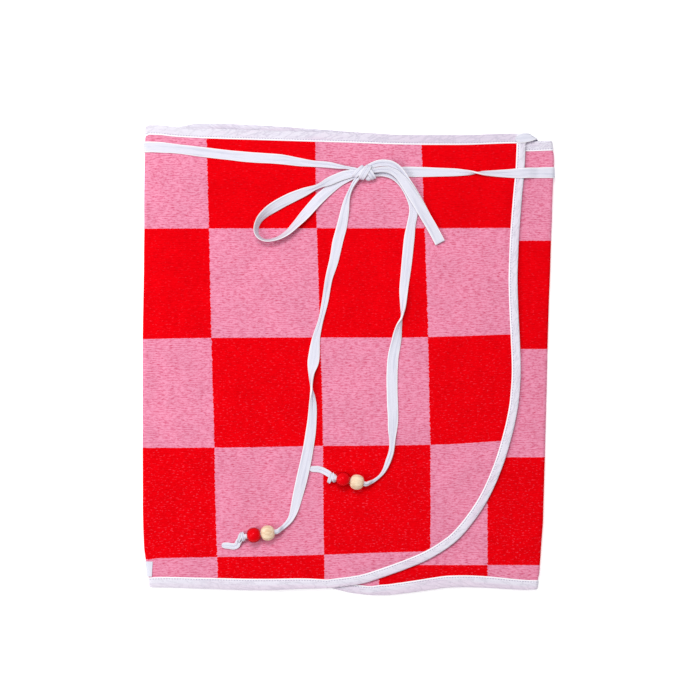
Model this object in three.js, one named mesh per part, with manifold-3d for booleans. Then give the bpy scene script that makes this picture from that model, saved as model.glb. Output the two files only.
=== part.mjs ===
// A terry beach wrap laid flat: the front panel laps over the back and under panels,
// white binding runs round every edge, and two ties with wooden beads meet in a bow.
// Millimetres, x to the right, y towards the waist, z up from the surface it lies on.
import * as THREE from "three";
import Module from "manifold-3d";

const clothHalf = 1.3; // half the thickness of the terry
const pressedHalf = 0.6; // half of it where the binding presses the pile
const gap = 0.3; // between neighbouring pieces
const bindingThick = 0.6;
const bindingHalf = pressedHalf + gap + bindingThick;
const edgeWide = 9.3; // the edge binding's width up the sides
const waistWide = 10.3;
const edgeRoom = gap + bindingThick; // from the outline to the cloth's own edge
const layerPitch = 3.4; // from one layer's middle to the next
const bareDrop = 2.2; // the front sinks this far where the under panel is absent
const tapeLift = 3; // room under the waist for the two ties
const tabLift = 0.9;
const tapeHalfWide = 5.4;
const tapeHalfThick = 0.5;
const cordRadius = 2.5; // the tie squeezed through a bead
const beadRadius = 7.9;
const beadHalfLong = 7;
const boreRadius = 2.95;
const tabHigh = [-224.4, -208.8];
const tabFront = -203.4; // where the tab ends on the front
const tabBack = 5;

// Outlines of the bound edges, read off the front view.
const freeEdge = {
  y: [-236.4, -231.8, -225.9, -217.3, -207, -196.7, -186.4, -165.8, -145.2, -124.6, -104,
    -83.4, -62.8, -42.2, -11.3, 19.6, 50.5, 81.4, 112.3, 163.8, 199.8, 232.5],
  x: [-22.4, 11.5, 31.2, 55.6, 80.3, 97.9, 111.2, 128.8, 142.1, 151.9, 159.7,
    165.8, 170.8, 174.2, 176.1, 175.1, 173.6, 172.7, 173.6, 176.9, 180, 181.2],
};
const hiddenEdge = {
  y: [-244, -241.7, -238.2, -233.4, -224.8, -214.5, -204.2, -193.9, -173.3, -152.7, -132.1,
    -111.5, -80, -40, 20, 100, 236],
  x: [22, 2, -13, -31.6, -56, -80.7, -98.3, -111.6, -129.2, -142.5, -153,
    -162, -173, -181, -186.5, -189, -190],
};
const leftFold = {
  y: [-236, -225.6, -209.1, -191.6, -145.2, 19.6, 81.4, 174.1, 241.5],
  x: [-207, -208.6, -210.8, -213, -214.2, -214.2, -213.2, -212.2, -211.2],
};
const rightFold = {
  y: [-238, -222.8, -186.7, -166.1, -124.8, -83.6, -42.3, -1, 40.2, 81.5, 122.8, 164, 184.8, 205, 225.5],
  x: [193.6, 195.6, 198.1, 199.6, 200.8, 201.9, 203, 204, 205, 206.6, 207.9, 209, 209.8, 210.6, 208.6],
};
const frontTop = {
  x: [-211.2, -197, -180, -154.5, -103, -51.5, 0, 51.5, 82.4, 113.3, 164.8, 181],
  y: [241.4, 240.9, 239, 237.6, 235.9, 234.3, 232.8, 231, 230.6, 230.6, 232.2, 232.3],
};
const frontHem = {
  x: [-207, -191, -160, -129, -98, -82, -67, -52, -22.4],
  y: [-235.7, -235.8, -236.8, -237.9, -238.7, -238.6, -238, -237.1, -236.4],
};
const underTop = {
  x: [-190, -100, 0, 100, 182.5, 208.6],
  y: [236, 231, 226.8, 224.4, 224.4, 225.2],
};
const underHem = {
  x: [22, 36, 51.5, 72, 88, 103, 118, 134, 150, 165, 180, 194.2],
  y: [-244, -244, -242.6, -240, -237.7, -236, -235.7, -236, -236.8, -237.8, -238.4, -238],
};
const backTop = {
  x: [-211.2, -204, -190, -180, -170, -155, -134, -113.5, -93, -72, -51.6, -31, -10, 10, 31, 51.6, 93, 150, 208.6],
  y: [241.4, 238.3, 236.8, 238.4, 241.4, 243.4, 243.4, 242.4, 241.4, 240.2, 238.7, 237.2, 235.6, 234.1, 232.8,
    231.3, 228.8, 226, 225.2],
};
const backHem = { x: [-207, -100, 0, 100, 194.2], y: [-235.7, -235, -234.5, -234.7, -238] };
// The hem's binding is wider than the same strip up the sides.
const hemWide = {
  front: { x: [-207, -196, -154, -82, -45, -24], y: [10.4, 11, 11.6, 12, 10.8, 9.3] },
  under: { x: [22, 36, 113, 165, 194.2], y: [9.6, 11.2, 12.4, 11.2, 9.6] },
  back: { x: [-207, -150, 150, 194.2], y: [10.4, 11.2, 11.2, 9.6] },
};

// Ties: x and y of the middle line, height over the cloth, half width, tilt.
const leftStretch = {
  x: [-206, -195.7, -175.1, -154.5, -123.6, -103, -72.1, -51.5, -36.1, -21.2, -11.6, -3, 8],
  y: [218.4, 217.8, 215.8, 213.2, 209.6, 207.5, 205.5, 202.4, 200.6, 199.6, 197.6, 196.6, 193.5],
  up: [0, 0, 0, 0, 0, 0, 0, 0, 0.3, 1, 1.8, 2.4, 3],
  half: [5.6, 5.5, 4.8, 5.1, 5, 5.2, 5, 4.2, 3.3, 3.1, 2.4, 1.7, 2.4],
  thick: [0.5, 0.5, 0.5, 0.5, 0.5, 0.5, 0.5, 0.6, 0.7, 0.8, 1.1, 1.4, 1.4],
};
const rightStretch = {
  x: [185, 176, 164.8, 150, 138, 130, 122, 108, 95, 80, 64, 48, 30, 14],
  y: [191.6, 191.2, 190.8, 190.8, 191, 191.3, 191.4, 191.9, 192, 192.2, 192.4, 192.6, 191.4, 190],
  up: [0, 0, 0, 0, 0.4, 1.2, 0.4, 0, 0, 0, 0, 0, 0.8, 2.5],
  half: [5.3, 5.2, 4.4, 3.4, 2.6, 1.9, 2.8, 3.9, 4.4, 4.9, 5.2, 4.8, 4, 3.2],
  thick: [0.5, 0.5, 0.6, 0.9, 1.2, 1.5, 1.1, 0.7, 0.6, 0.5, 0.5, 0.5, 0.8, 1],
};
const leftLoop = {
  x: [6, -6, -19, -33, -47, -62, -76, -88, -95, -97, -93, -86, -77, -66, -56, -45, -34, -22, -10, 4],
  y: [191, 188.8, 183.6, 177.2, 171.5, 165, 157.5, 149, 140, 131, 124, 121.4, 123, 128.5, 138,
    150, 162.5, 173.5, 182, 188.5],
  up: [4.6, 3.6, 2.8, 2.4, 1.6, 0.8, 0.6, 0.3, 0.2, 0.2, 0.2, 0.2, 0.2, 0.2, 0.2, 0.2, 0, 0, 0.2, 2],
  half: [3.2, 4.4, 4.4, 2.4, 4.4, 5.4, 5.4, 5.4, 5.4, 5.4, 5.4, 5.4, 5.4, 5.4, 5.4, 5.4, 5.4, 5, 4, 3.2],
  tilt: [0, 0, -6, -18, -15, -14, -20, -45, -62, -68, -74, -76, -72, -60, -45, -20, -8, -4, 0, 0],
};
const rightLoopOver = {
  x: [14, 24, 33, 41, 49, 56, 63, 70, 77.5, 85, 92.3],
  y: [191, 193.2, 194.6, 193.8, 189, 181, 170.5, 159, 146.5, 134, 120.4],
  up: [4.6, 5, 5.2, 5.2, 5, 4.6, 4.3, 4, 3.5, 3, 2.6],
  half: [2.4, 2.6, 2.8, 3.2, 3.8, 4.6, 5.2, 5.3, 5.3, 5.3, 5.3],
};
const rightLoopBack = {
  x: [92.3, 84.5, 77.5, 71, 65, 59, 54.5, 48.5, 41, 31.5, 22, 14],
  y: [120.4, 134.6, 147, 159.5, 170.5, 180.5, 188.5, 196, 200.6, 201.3, 198.6, 194],
  up: [1, 1.1, 1.4, 1.8, 2.2, 2.6, 3, 3.4, 3.8, 4.4, 4.8, 4.8],
  half: [5.3, 5.3, 5.3, 5.3, 5, 4.6, 4.2, 4, 3.8, 3.5, 3, 2.6],
};
const plainTail = {
  x: [9, 4.5, 1.3, -1.5, -3.5, -5.2, -7, -9.6, -12.3, -16.4, -22.1, -25.4, -30, -35.3, -37.5, -39.9, -39.8,
    -38.6, -38.3, -39.1, -41.6, -45.3, -49.9, -54.9, -57.4, -59.9, -64, -68.5],
  y: [187, 181.5, 175.5, 169, 163, 153, 143.5, 132, 122.6, 102, 81.4, 60.8, 40.2, 19.6, -1, -16.5, -29.9,
    -37.1, -47.4, -62.8, -83.4, -104, -124.6, -145.2, -155.5, -163, -168.8, -172.8],
  up: [3.6, 3, 2.2, 1.6, 1, 0.4, 0.2, 0, 0, 0, 0, 0, 0, 0, 0, 0.2, 0.8,
    0.2, 0, 0, 0, 1.4, 1.6, 0, 0, 0, 0.4, 1.2],
  half: [2.4, 2.3, 2, 2.4, 3.2, 4.4, 5, 5.3, 5.3, 4.8, 3.8, 3.4, 2.8, 4.3, 5.9, 3.4, 1.9,
    2.9, 4, 4.7, 5.3, 5.6, 5.7, 5, 4.3, 3.4, 2.8, 2.3],
};
const farTail = {
  x: [18, 30, 42, 51, 58, 63, 65.5, 65.3, 63.4, 60.8, 58.7, 56.4, 55.2, 54.6, 53.4, 50.5, 47.9, 44, 43.2,
    43.6, 44.4, 43.7, 43.6, 43, 39.7, 35.6, 29.8, 24],
  y: [190, 191.5, 189.5, 184, 175, 164.5, 155, 149, 141, 122.6, 102, 81.4, 71.1, 54, 43.3, 35, 19.6, -1,
    -21.6, -42.2, -62.8, -73.1, -83.4, -93.7, -104, -114.3, -121.6, -125.4],
  up: [2.6, 1.6, 1.2, 1, 0.9, 0.8, 0.7, 0.5, 0.2, 0, 0, 0, 0, 0, 0.6, 0, 0, 0, 0, 0, 0, 0, 0, 0,
    0.2, 0.6, 1.4, 2.4],
  half: [3, 3.4, 3.8, 4.2, 4.4, 4.4, 4.4, 4.4, 4.4, 5.3, 5.3, 4.8, 4.4, 3.2, 2, 3.4, 5.1, 5.6, 5.7,
    5.7, 5.3, 4.6, 3.2, 2.5, 3, 2.5, 2, 2],
};
const beadPlaces = [
  {
    plain: [-84.4, -178.5], red: [-98.7, -180.7], knot: [-111.4, -182.6],
    end: [[-111.4, -184], [-114.6, -188], [-116.4, -191.6], [-120, -193], [-125.7, -192.2], [-132.2, -191.8]],
  },
  {
    plain: [7.1, -126.3], red: [-7, -123.4], knot: [-18.6, -122],
    end: [[-18.6, -120.2], [-22, -118], [-25.6, -116], [-30, -114], [-35, -113.2], [-41.6, -113.2]],
  },
];
const endHalf = [3, 3, 3, 3, 3, 2.6];
const knotMiddle = [14.8, 191.6];
const knotHalf = [11, 7.8, 5.4];

// Rows up the cloth: a share of its height plus a step in mm.
const rows = [0, 2, 5, 9, 14, 20, 28, 38, 50].map((up) => ({ share: 0, step: up })).concat(
  [0.15, 0.2, 0.26, 0.33, 0.4, 0.48, 0.56, 0.64, 0.7, 0.755].map((share) => ({ share, step: 0 })),
  [96, 76, 56, 38, 24, 10.6, 0].map((down) => ({ share: 1, step: -down })),
);
const frontShares = [0, 0.03, 0.075, 0.14, 0.24, 0.36, 0.48, 0.6, 0.72, 0.83, 0.905, 0.95, 0.974, 0.988, 1];
const backShares = [0, 0.02, 0.06, 0.14, 0.27, 0.42, 0.58, 0.74, 0.88, 0.96, 1];
const underShares = [0, 0.03, 0.08, 0.16, 0.28, 0.42, 0.56, 0.7, 0.83, 0.92, 0.97, 1];
const foldTurns = [30, 60, 90, 120, 150];

const mix = (a, b, part) => a + (b - a) * part;
const ease = (value) => {
  const part = Math.min(1, Math.max(0, value));
  return part * part * (3 - 2 * part);
};

// A smooth curve through a table that never swings past its values.
function curve(at, values) {
  const n = at.length;
  const slope = at.slice(1).map((a, i) => (values[i + 1] - values[i]) / (a - at[i]));
  const tangent = at.map((_, i) => {
    if (i === 0) return slope[0];
    if (i === n - 1) return slope[n - 2];
    return slope[i - 1] * slope[i] <= 0 ? 0 : (2 * slope[i - 1] * slope[i]) / (slope[i - 1] + slope[i]);
  });
  return (p) => {
    if (p <= at[0]) return values[0];
    if (p >= at[n - 1]) return values[n - 1];
    let i = 0;
    while (p > at[i + 1]) i += 1;
    const h = at[i + 1] - at[i];
    const u = (p - at[i]) / h;
    const v = 1 - u;
    return (
      values[i] * (1 + 2 * u) * v * v + values[i + 1] * (1 + 2 * v) * u * u +
      h * u * v * (tangent[i] * v - tangent[i + 1] * u)
    );
  };
}

// The outline table moved inward by the room that the binding takes.
function inset(table, inward) {
  const at = curve(table.y, table.x);
  const points = [];
  for (let i = 0; i < table.y.length; i += 1) {
    const y = table.y[i];
    const run = (at(y + 1) - at(y - 1)) / 2;
    const size = Math.hypot(run, 1);
    points.push([y - (inward * run * table.side) / size, table.x[i] + (inward * table.side) / size]);
  }
  points.sort((a, b) => a[0] - b[0]);
  return curve(points.map((p) => p[0]), points.map((p) => p[1]));
}

const freeX = inset({ ...freeEdge, side: -1 }, edgeRoom);
const hiddenX = inset({ ...hiddenEdge, side: 1 }, edgeRoom);
const leftX = curve(leftFold.y, leftFold.x);
const rightX = curve(rightFold.y, rightFold.x);
const line = (table) => curve(table.x, table.y);
const panels = {
  front: { top: line(frontTop), hem: line(frontHem) },
  under: { top: line(underTop), hem: line(underHem) },
  back: { top: line(backTop), hem: line(backHem) },
};

function rowY(panel, x, row) {
  const low = panels[panel].hem(x) + edgeRoom;
  const high = panels[panel].top(x) - edgeRoom;
  return mix(low, high, row.share) + row.step;
}

// Heights of the layers.
function lift(x, y) {
  const waist = tapeLift * ease((y - 118) / 64);
  const tab = tabLift * (1 - ease((Math.hypot(x + 208, y + 216) - 22) / 60));
  return waist + tab * (1 - ease((y - 118) / 64));
}
const hemZone = (y) => 1 - ease((y + 222) / 14);
const backZ = (x, y) => clothHalf + (bindingHalf - clothHalf) * hemZone(y) + lift(x, y);
const underZ = (x, y) => backZ(x, y) + layerPitch;

// How far a point lies outside the under panel's hidden edge.
function bareness(x, y) {
  const outside = y < -243 ? 99 : hiddenX(y) - 1 - x;
  const slope = Math.abs(hiddenX(y + 3) - hiddenX(y - 3)) / 6;
  return outside / Math.hypot(slope, 1);
}
const ripple = (x, y) => 0.35 + 0.35 * Math.sin(x / 31 + y / 83) * Math.cos(y / 47 - x / 140);
function frontZ(x, y) {
  const bare = ease((bareness(x, y) - 3) / 17);
  return underZ(x, y) + layerPitch - bareDrop * bare + ripple(x, y) * ease((x + 205) / 40);
}

// The folded sheet.
function foldPoint(side, turn, y) {
  const left = side === "left";
  const reach = left ? leftX(y) : rightX(y);
  const sign = left ? -1 : 1;
  const near = reach - sign * (clothHalf + 2.4);
  const low = backZ(near, y);
  const high = left ? frontZ(near, y) : underZ(near, y);
  const radius = (high - low) / 2;
  const x = reach - sign * (clothHalf + radius) + sign * radius * Math.sin(turn);
  return {
    x, y, z: (high + low) / 2 + radius * Math.cos(turn) * (left ? 1 : -1),
    nx: sign * Math.sin(turn), nz: Math.cos(turn) * (left ? 1 : -1),
  };
}
const foldStart = (side, y) => foldPoint(side, 0, y).x;

const columns = [];
frontShares.forEach((share) => columns.push({ panel: "front", share }));
foldTurns.forEach((turn) => columns.push({ fold: "left", turn: (turn * Math.PI) / 180 }));
backShares.forEach((share) => columns.push({ panel: "back", share }));
foldTurns.forEach((turn) => columns.push({ fold: "right", turn: (turn * Math.PI) / 180 }));
underShares.forEach((share) => columns.push({ panel: "under", share }));

function nodeAt(column, row) {
  if (column.fold) {
    const reach = column.fold === "left" ? -209 : 203;
    const y = rowY("back", reach, row);
    return { ...foldPoint(column.fold, column.turn, y), panel: "back" };
  }
  const { panel, share } = column;
  let y = rowY(panel, panel === "under" ? 0 : 60, row);
  let x = 0;
  for (let pass = 0; pass < 40; pass += 1) {
    let ends;
    if (panel === "front") ends = [freeX(edgeY("front", row)), foldStart("left", y)];
    else if (panel === "back") ends = [foldStart("left", y), foldStart("right", y)];
    else ends = [foldStart("right", y), hiddenX(edgeY("under", row))];
    x = mix(ends[0], ends[1], share);
    y = rowY(panel, x, row);
  }
  const z = { front: frontZ, back: backZ, under: underZ }[panel](x, y);
  return { x, y, z, nx: 0, nz: panel === "back" ? -1 : 1, panel };
}

// Where a row meets the free edge of its panel.
function edgeY(panel, row) {
  const edge = panel === "front" ? freeX : hiddenX;
  let y = rowY(panel, panel === "front" ? 170 : -185, row);
  for (let pass = 0; pass < 60; pass += 1) y = mix(y, rowY(panel, edge(y), row), 0.5);
  return y;
}

const grid = columns.map((column) => rows.map((row) => nodeAt(column, row)));
const lastRow = rows.length - 1;
const lastColumn = columns.length - 1;

function distanceTo(x, y, path) {
  let best = 1e9;
  for (let i = 0; i + 1 < path.length; i += 1) {
    const [a, b] = [path[i], path[i + 1]];
    const [dx, dy] = [b.x - a.x, b.y - a.y];
    const part = Math.min(1, Math.max(0, ((x - a.x) * dx + (y - a.y) * dy) / (dx * dx + dy * dy + 1e-9)));
    best = Math.min(best, Math.hypot(x - a.x - dx * part, y - a.y - dy * part));
  }
  return best;
}
const bounds = {};
for (const panel of ["front", "back", "under"]) {
  const own = grid.filter((_, i) => columns[i].panel === panel);
  bounds[panel] = [own.map((c) => c[0]), own.map((c) => c[lastRow])];
}
bounds.front.push(grid[0]);
bounds.under.push(grid[lastColumn]);

for (const column of grid) {
  for (const node of column) {
    const deep = Math.min(...bounds[node.panel].map((path) => distanceTo(node.x, node.y, path)));
    node.half = mix(pressedHalf, clothHalf, ease((deep - 11) / 15));
  }
}

// Closed meshes.
function closedMesh(points, faces) {
  let volume = 0;
  const [a, b, c] = [new THREE.Vector3(), new THREE.Vector3(), new THREE.Vector3()];
  for (const [i, j, k] of faces) {
    a.fromArray(points[i]);
    b.fromArray(points[j]);
    c.fromArray(points[k]);
    volume += a.dot(b.cross(c));
  }
  const geometry = new THREE.BufferGeometry();
  geometry.setAttribute("position", new THREE.Float32BufferAttribute(points.flat(), 3));
  geometry.setIndex((volume < 0 ? faces.map(([i, j, k]) => [i, k, j]) : faces).flat());
  geometry.computeVertexNormals();
  return geometry;
}

function sweep(sections) {
  const size = sections[0].length;
  const points = sections.flat();
  const faces = [];
  for (let i = 0; i + 1 < sections.length; i += 1) {
    for (let k = 0; k < size; k += 1) {
      const next = (k + 1) % size;
      const [p, q, r, s] = [i * size + k, i * size + next, (i + 1) * size + next, (i + 1) * size + k];
      faces.push([p, q, r], [p, r, s]);
    }
  }
  return { points, faces, size, count: sections.length };
}

function capped(swept, outline) {
  const caps = THREE.ShapeUtils.triangulateShape(outline.map(([u, v]) => new THREE.Vector2(u, v)), []);
  const end = (swept.count - 1) * swept.size;
  const turned = THREE.ShapeUtils.area(outline.map(([u, v]) => new THREE.Vector2(u, v))) < 0;
  for (const [i, j, k] of caps) {
    const face = turned ? [i, k, j] : [i, j, k];
    swept.faces.push([face[0], face[2], face[1]], face.map((v) => v + end));
  }
  return swept;
}

function clothGeometry() {
  const points = [];
  const faces = [];
  const at = (i, j, side) => (i * rows.length + j) * 2 + side;
  for (const column of grid) {
    for (const n of column) {
      points.push([n.x + n.nx * n.half, n.y, n.z + n.nz * n.half]);
      points.push([n.x - n.nx * n.half, n.y, n.z - n.nz * n.half]);
    }
  }
  const quad = (a, b, c, d) => faces.push([a, b, c], [a, c, d]);
  for (let i = 0; i < lastColumn; i += 1) {
    for (let j = 0; j < lastRow; j += 1) {
      quad(at(i, j, 0), at(i, j + 1, 0), at(i + 1, j + 1, 0), at(i + 1, j, 0));
      quad(at(i, j, 1), at(i + 1, j, 1), at(i + 1, j + 1, 1), at(i, j + 1, 1));
    }
    quad(at(i, 0, 0), at(i + 1, 0, 0), at(i + 1, 0, 1), at(i, 0, 1));
    quad(at(i, lastRow, 0), at(i, lastRow, 1), at(i + 1, lastRow, 1), at(i + 1, lastRow, 0));
  }
  for (let j = 0; j < lastRow; j += 1) {
    quad(at(0, j, 0), at(0, j, 1), at(0, j + 1, 1), at(0, j + 1, 0));
    quad(at(lastColumn, j, 0), at(lastColumn, j + 1, 0), at(lastColumn, j + 1, 1), at(lastColumn, j, 1));
  }
  return closedMesh(points, faces);
}

// Bindings.
const panelZ = { front: frontZ, back: backZ, under: underZ };
const channel = (wide) => [
  [wide, bindingHalf], [0.8, bindingHalf], [0, 0.8], [0, -0.8], [0.8, -bindingHalf], [wide, -bindingHalf],
  [wide, -pressedHalf - gap], [bindingThick, -pressedHalf - gap],
  [bindingThick, pressedHalf + gap], [wide, pressedHalf + gap],
];

// One section of a binding at a node of the cloth's own edge, with the inward direction given.
function bindingSection(node, column, inward, outline, along = 0) {
  return outline.map(([deep, high]) => {
    const run = deep - edgeRoom;
    if (column.fold) {
      const p = foldPoint(column.fold, column.turn, node.y + inward[1] * run);
      return [p.x + p.nx * high, p.y, p.z + p.nz * high];
    }
    const x = node.x + inward[0] * run + along;
    const y = node.y + inward[1] * run;
    return [x, y, panelZ[node.panel](x, y) + node.nz * high];
  });
}

function slopeNear(node, up) {
  const ends = [["left", -210.3], ["right", 204]];
  let lean = 0;
  for (const [side, at] of ends) {
    const near = Math.max(0, 1 - Math.abs(node.x - at) / 36);
    const run = (foldStart(side, node.y + up * 9) - foldStart(side, node.y)) / 9;
    lean += near * run;
  }
  return lean;
}

function waistGeometry() {
  const outline = channel(waistWide);
  const sections = [];
  grid.forEach((column, i) => {
    const node = column[lastRow];
    const inward = [columns[i].fold ? 0 : slopeNear(node, -1), -1];
    if (i === 0) sections.push(bindingSection(node, columns[i], inward, outline, edgeRoom));
    sections.push(bindingSection(node, columns[i], inward, outline));
    if (i === lastColumn) sections.push(bindingSection(node, columns[i], inward, outline, -edgeRoom));
  });
  const made = capped(sweep(sections), outline);
  return closedMesh(made.points, made.faces);
}

function hemWideAt(stop) {
  const table = hemWide[stop.node.panel];
  const ends = [table.x[0], table.x[table.x.length - 1]];
  if (stop.node.panel === "front" && stop.node.x > ends[1]) return edgeWide;
  if (stop.node.panel === "under" && stop.node.x < ends[0]) return edgeWide;
  return line(table)(stop.node.x);
}

function edgeGeometry() {
  const path = [];
  for (let j = lastRow - 1; j > 0; j -= 1) path.push({ node: grid[0][j], column: columns[0], hem: false });
  grid.forEach((column, i) => path.push({ node: column[0], column: columns[i], hem: true }));
  for (let j = 1; j < lastRow; j += 1) {
    path.push({ node: grid[lastColumn][j], column: columns[lastColumn], hem: false });
  }
  const sections = path.map((stop, k) => {
    const before = path[Math.max(0, k - 1)].node;
    const after = path[Math.min(path.length - 1, k + 1)].node;
    let inward = [0, 1];
    if (!stop.column.fold) {
      const [dx, dy] = [after.x - before.x, after.y - before.y];
      const size = Math.hypot(dx, dy);
      const side = stop.node.nz > 0 ? 1 : -1;
      inward = [(dy / size) * side, (-dx / size) * side];
      const flat = Math.max(0, 1 - Math.min(Math.abs(stop.node.x + 206), Math.abs(stop.node.x - 190)) / 36);
      if (stop.hem && flat > 0) inward = [mix(inward[0], slopeNear(stop.node, 1), flat), inward[1]];
    }
    const wide = stop.hem ? hemWideAt(stop) : edgeWide;
    return bindingSection(stop.node, stop.column, inward, channel(wide));
  });
  const made = capped(sweep(sections), channel(edgeWide));
  return closedMesh(made.points, made.faces);
}

// The tab at the left fold.
function tabGeometry() {
  const inner = clothHalf + gap;
  const outer = inner + 0.5;
  const y = tabHigh;
  const stops = [{ end: tabFront, turn: 0 }, { out: 0, turn: 0 }];
  foldTurns.forEach((turn) => stops.push({ out: 0, turn: (turn * Math.PI) / 180 }));
  stops.push({ out: 0, turn: Math.PI }, { out: tabBack, turn: Math.PI });
  const sections = stops.map((stop) =>
    [[y[0], inner], [y[1], inner], [y[1], outer], [y[0], outer]].map(([at, high]) => {
      const p = foldPoint("left", stop.turn, at);
      const x = stop.end ? stop.end + (at - y[1]) * 0.06 : p.x + stop.out + p.nx * high;
      return [x, at, p.z + p.nz * high];
    }));
  const made = capped(sweep(sections), [[0, 0], [1, 0], [1, 1], [0, 1]]);
  return closedMesh(made.points, made.faces);
}

// Ties.
const frontTopZ = (x, y) => frontZ(x, y) + bindingHalf - 0.1;
function surfaceZ(x, y) {
  const past = ease((x - freeX(y) - edgeRoom - 2.5) / 12);
  return mix(frontTopZ(x, y), underZ(x, y) + bindingHalf - 0.1, past);
}

const resting = gap + tapeHalfThick + 0.1;

function smoothRows(table, step) {
  const keys = Object.keys(table);
  const at = [0];
  for (let i = 1; i < table.x.length; i += 1) {
    at.push(at[i - 1] + Math.hypot(table.x[i] - table.x[i - 1], table.y[i] - table.y[i - 1]));
  }
  const of = Object.fromEntries(keys.map((key) => [key, curve(at, table[key])]));
  const length = at[at.length - 1];
  const count = Math.ceil(length / step);
  const out = [];
  for (let i = 0; i <= count; i += 1) {
    const p = (length * i) / count;
    out.push(Object.fromEntries(keys.map((key) => [key, of[key](p)])));
  }
  return out;
}

function onCloth(table, step = 8) {
  const path = smoothRows(table, step);
  return path.map((stop, i) => {
    const before = path[Math.max(0, i - 1)];
    const after = path[Math.min(path.length - 1, i + 1)];
    const aim = Math.atan2(after.y - before.y, after.x - before.x) + Math.PI / 2;
    const tilt = ((stop.tilt || 0) * Math.PI) / 180;
    const half = stop.half || tapeHalfWide;
    const thick = stop.thick || (half < 3 ? 1.3 : half < 4 ? 0.9 : tapeHalfThick);
    const rise = half * Math.abs(Math.sin(tilt)) + (thick - tapeHalfThick);
    const z = surfaceZ(stop.x, stop.y) + resting + stop.up + rise;
    const level = Math.cos(tilt);
    const wide = [Math.cos(aim) * level, Math.sin(aim) * level, Math.sin(tilt)];
    return { at: [stop.x, stop.y, z], wide, half, thick };
  });
}

// The same stop with its width turned the other way round.
const turned = (stop) => ({ ...stop, wide: stop.wide.map((v) => -v) });

function tape(stops) {
  const corner = [[1, 0.41], [0, 1], [0, 1], [-1, 0.41]];
  const sections = stops.map((stop, i) => {
    const before = new THREE.Vector3(...stops[Math.max(0, i - 1)].at);
    const after = new THREE.Vector3(...stops[Math.min(stops.length - 1, i + 1)].at);
    const wide = new THREE.Vector3(...stop.wide);
    const out = after.sub(before).cross(wide).normalize();
    const { half, thick } = stop;
    const chamfer = Math.max(0.05 * half, half - 0.59 * thick);
    const outline = [
      [half, corner[0][1] * thick], [chamfer, thick], [-chamfer, thick], [-half, corner[3][1] * thick],
      [-half, -0.41 * thick], [-chamfer, -thick], [chamfer, -thick], [half, -0.41 * thick],
    ];
    const point = (u, v) => stop.at.map((c, k) => c + wide.getComponent(k) * u + out.getComponent(k) * v);
    return outline.map(([u, v]) => point(u, v));
  });
  const flat = [[3, 1], [2, 2], [-2, 2], [-3, 1], [-3, -1], [-2, -2], [2, -2], [3, -1]];
  const made = capped(sweep(sections), flat);
  return closedMesh(made.points, made.faces);
}

// The flattened loop: one strand out to the squared tip, folded over, and back under it.
function foldedLoop(over, back) {
  const tip = over[over.length - 1];
  const before = over[over.length - 2];
  const [dx, dy] = [tip.at[0] - before.at[0], tip.at[1] - before.at[1]];
  const size = Math.hypot(dx, dy);
  const middle = (tip.at[2] + back[0].at[2]) / 2;
  const radius = (tip.at[2] - back[0].at[2]) / 2;
  const turn = [45, 90, 135].map((angle) => {
    const a = (angle * Math.PI) / 180;
    const run = (radius * Math.sin(a)) / size;
    return { ...tip, at: [tip.at[0] + dx * run, tip.at[1] + dy * run, middle + radius * Math.cos(a)] };
  });
  return [...over, ...turn, ...back];
}

function aroundLeftFold(y) {
  const near = foldPoint("left", 0, y);
  const top = near.z + clothHalf + resting;
  const bottom = tapeHalfThick;
  const reach = leftX(y);
  const high = (top - bottom) / 2;
  const deep = clothHalf + 2.4 + resting;
  return [180, 150, 120, 90, 60, 30, 0].map((turn) => {
    const a = (turn * Math.PI) / 180;
    const x = reach + clothHalf + 2.4 - deep * Math.sin(a);
    return { at: [x, y, bottom + high + high * Math.cos(a)], wide: [0, 1, 0], half: 5.6, thick: 0.5 };
  });
}

function aroundRightFold(y) {
  const near = foldPoint("right", Math.PI, y);
  const low = foldPoint("right", 0, y).z - clothHalf - resting;
  const top = near.z + clothHalf + resting;
  const radius = (top - low) / 2;
  const middle = rightX(y) - clothHalf - layerPitch / 2;
  return [180, 150, 120, 90, 60, 30, 0].map((turn) => {
    const a = (turn * Math.PI) / 180;
    return {
      at: [middle + radius * Math.sin(a), y, low + radius + radius * Math.cos(a)],
      wide: [0, -1, 0], half: 5.6, thick: 0.5,
    };
  });
}

// Rows given in full: x, y, z, the angle of the width in degrees, half width.
function placed(list) {
  return list.map(([x, y, z, aim, half, thick = tapeHalfThick]) => {
    const a = (aim * Math.PI) / 180;
    return { at: [x, y, z], wide: [Math.cos(a), Math.sin(a), 0], half, thick };
  });
}

const under = tapeHalfThick; // a tie flat on the surface
const second = tapeHalfThick * 3 + gap; // a tie over another one
const cornerTop = frontZ(174, 226) + bindingHalf + gap + tapeHalfThick + 0.1;
const cornerTurn = placed([
  [171, 226.6, cornerTop, 90, 4.6], [176, 227, cornerTop, 100, 5],
  [182.6, 228.6, cornerTop + 0.2, 124, 6], [188, 229.8, cornerTop - 0.8, 150, 8],
  [190.2, 230.4, cornerTop - 4, 156, 8], [190.4, 230.2, second + 3.2, 158, 8],
  [190.6, 227.6, second + 0.2, 162, 8], [191.6, 221, second, 190, 6.6], [193.2, 214.6, second, 230, 4.4, 0.6],
  [191.5, 209.2, mix(under, second, 0.8), 258, 3.6, 0.7],
]);
const backRun = placed([
  [184, 206.6, under + 0.4, 268, 4, 0.6], [172, 206.8, under, 270, 5], [140, 208, under, 270, 5.3],
  [90, 209.6, under, 270, 5.4], [40, 211, under, 270, 5.4], [-10, 212.6, under, 270, 5.4],
  [-60, 214, under, 270, 5.4], [-110, 215.8, under, 270, 5.4], [-150, 217, under, 270, 5.4],
  [-185, 218, under, 270, 5.4], [-203, 218.4, under, 270, 5.5],
]);
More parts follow.
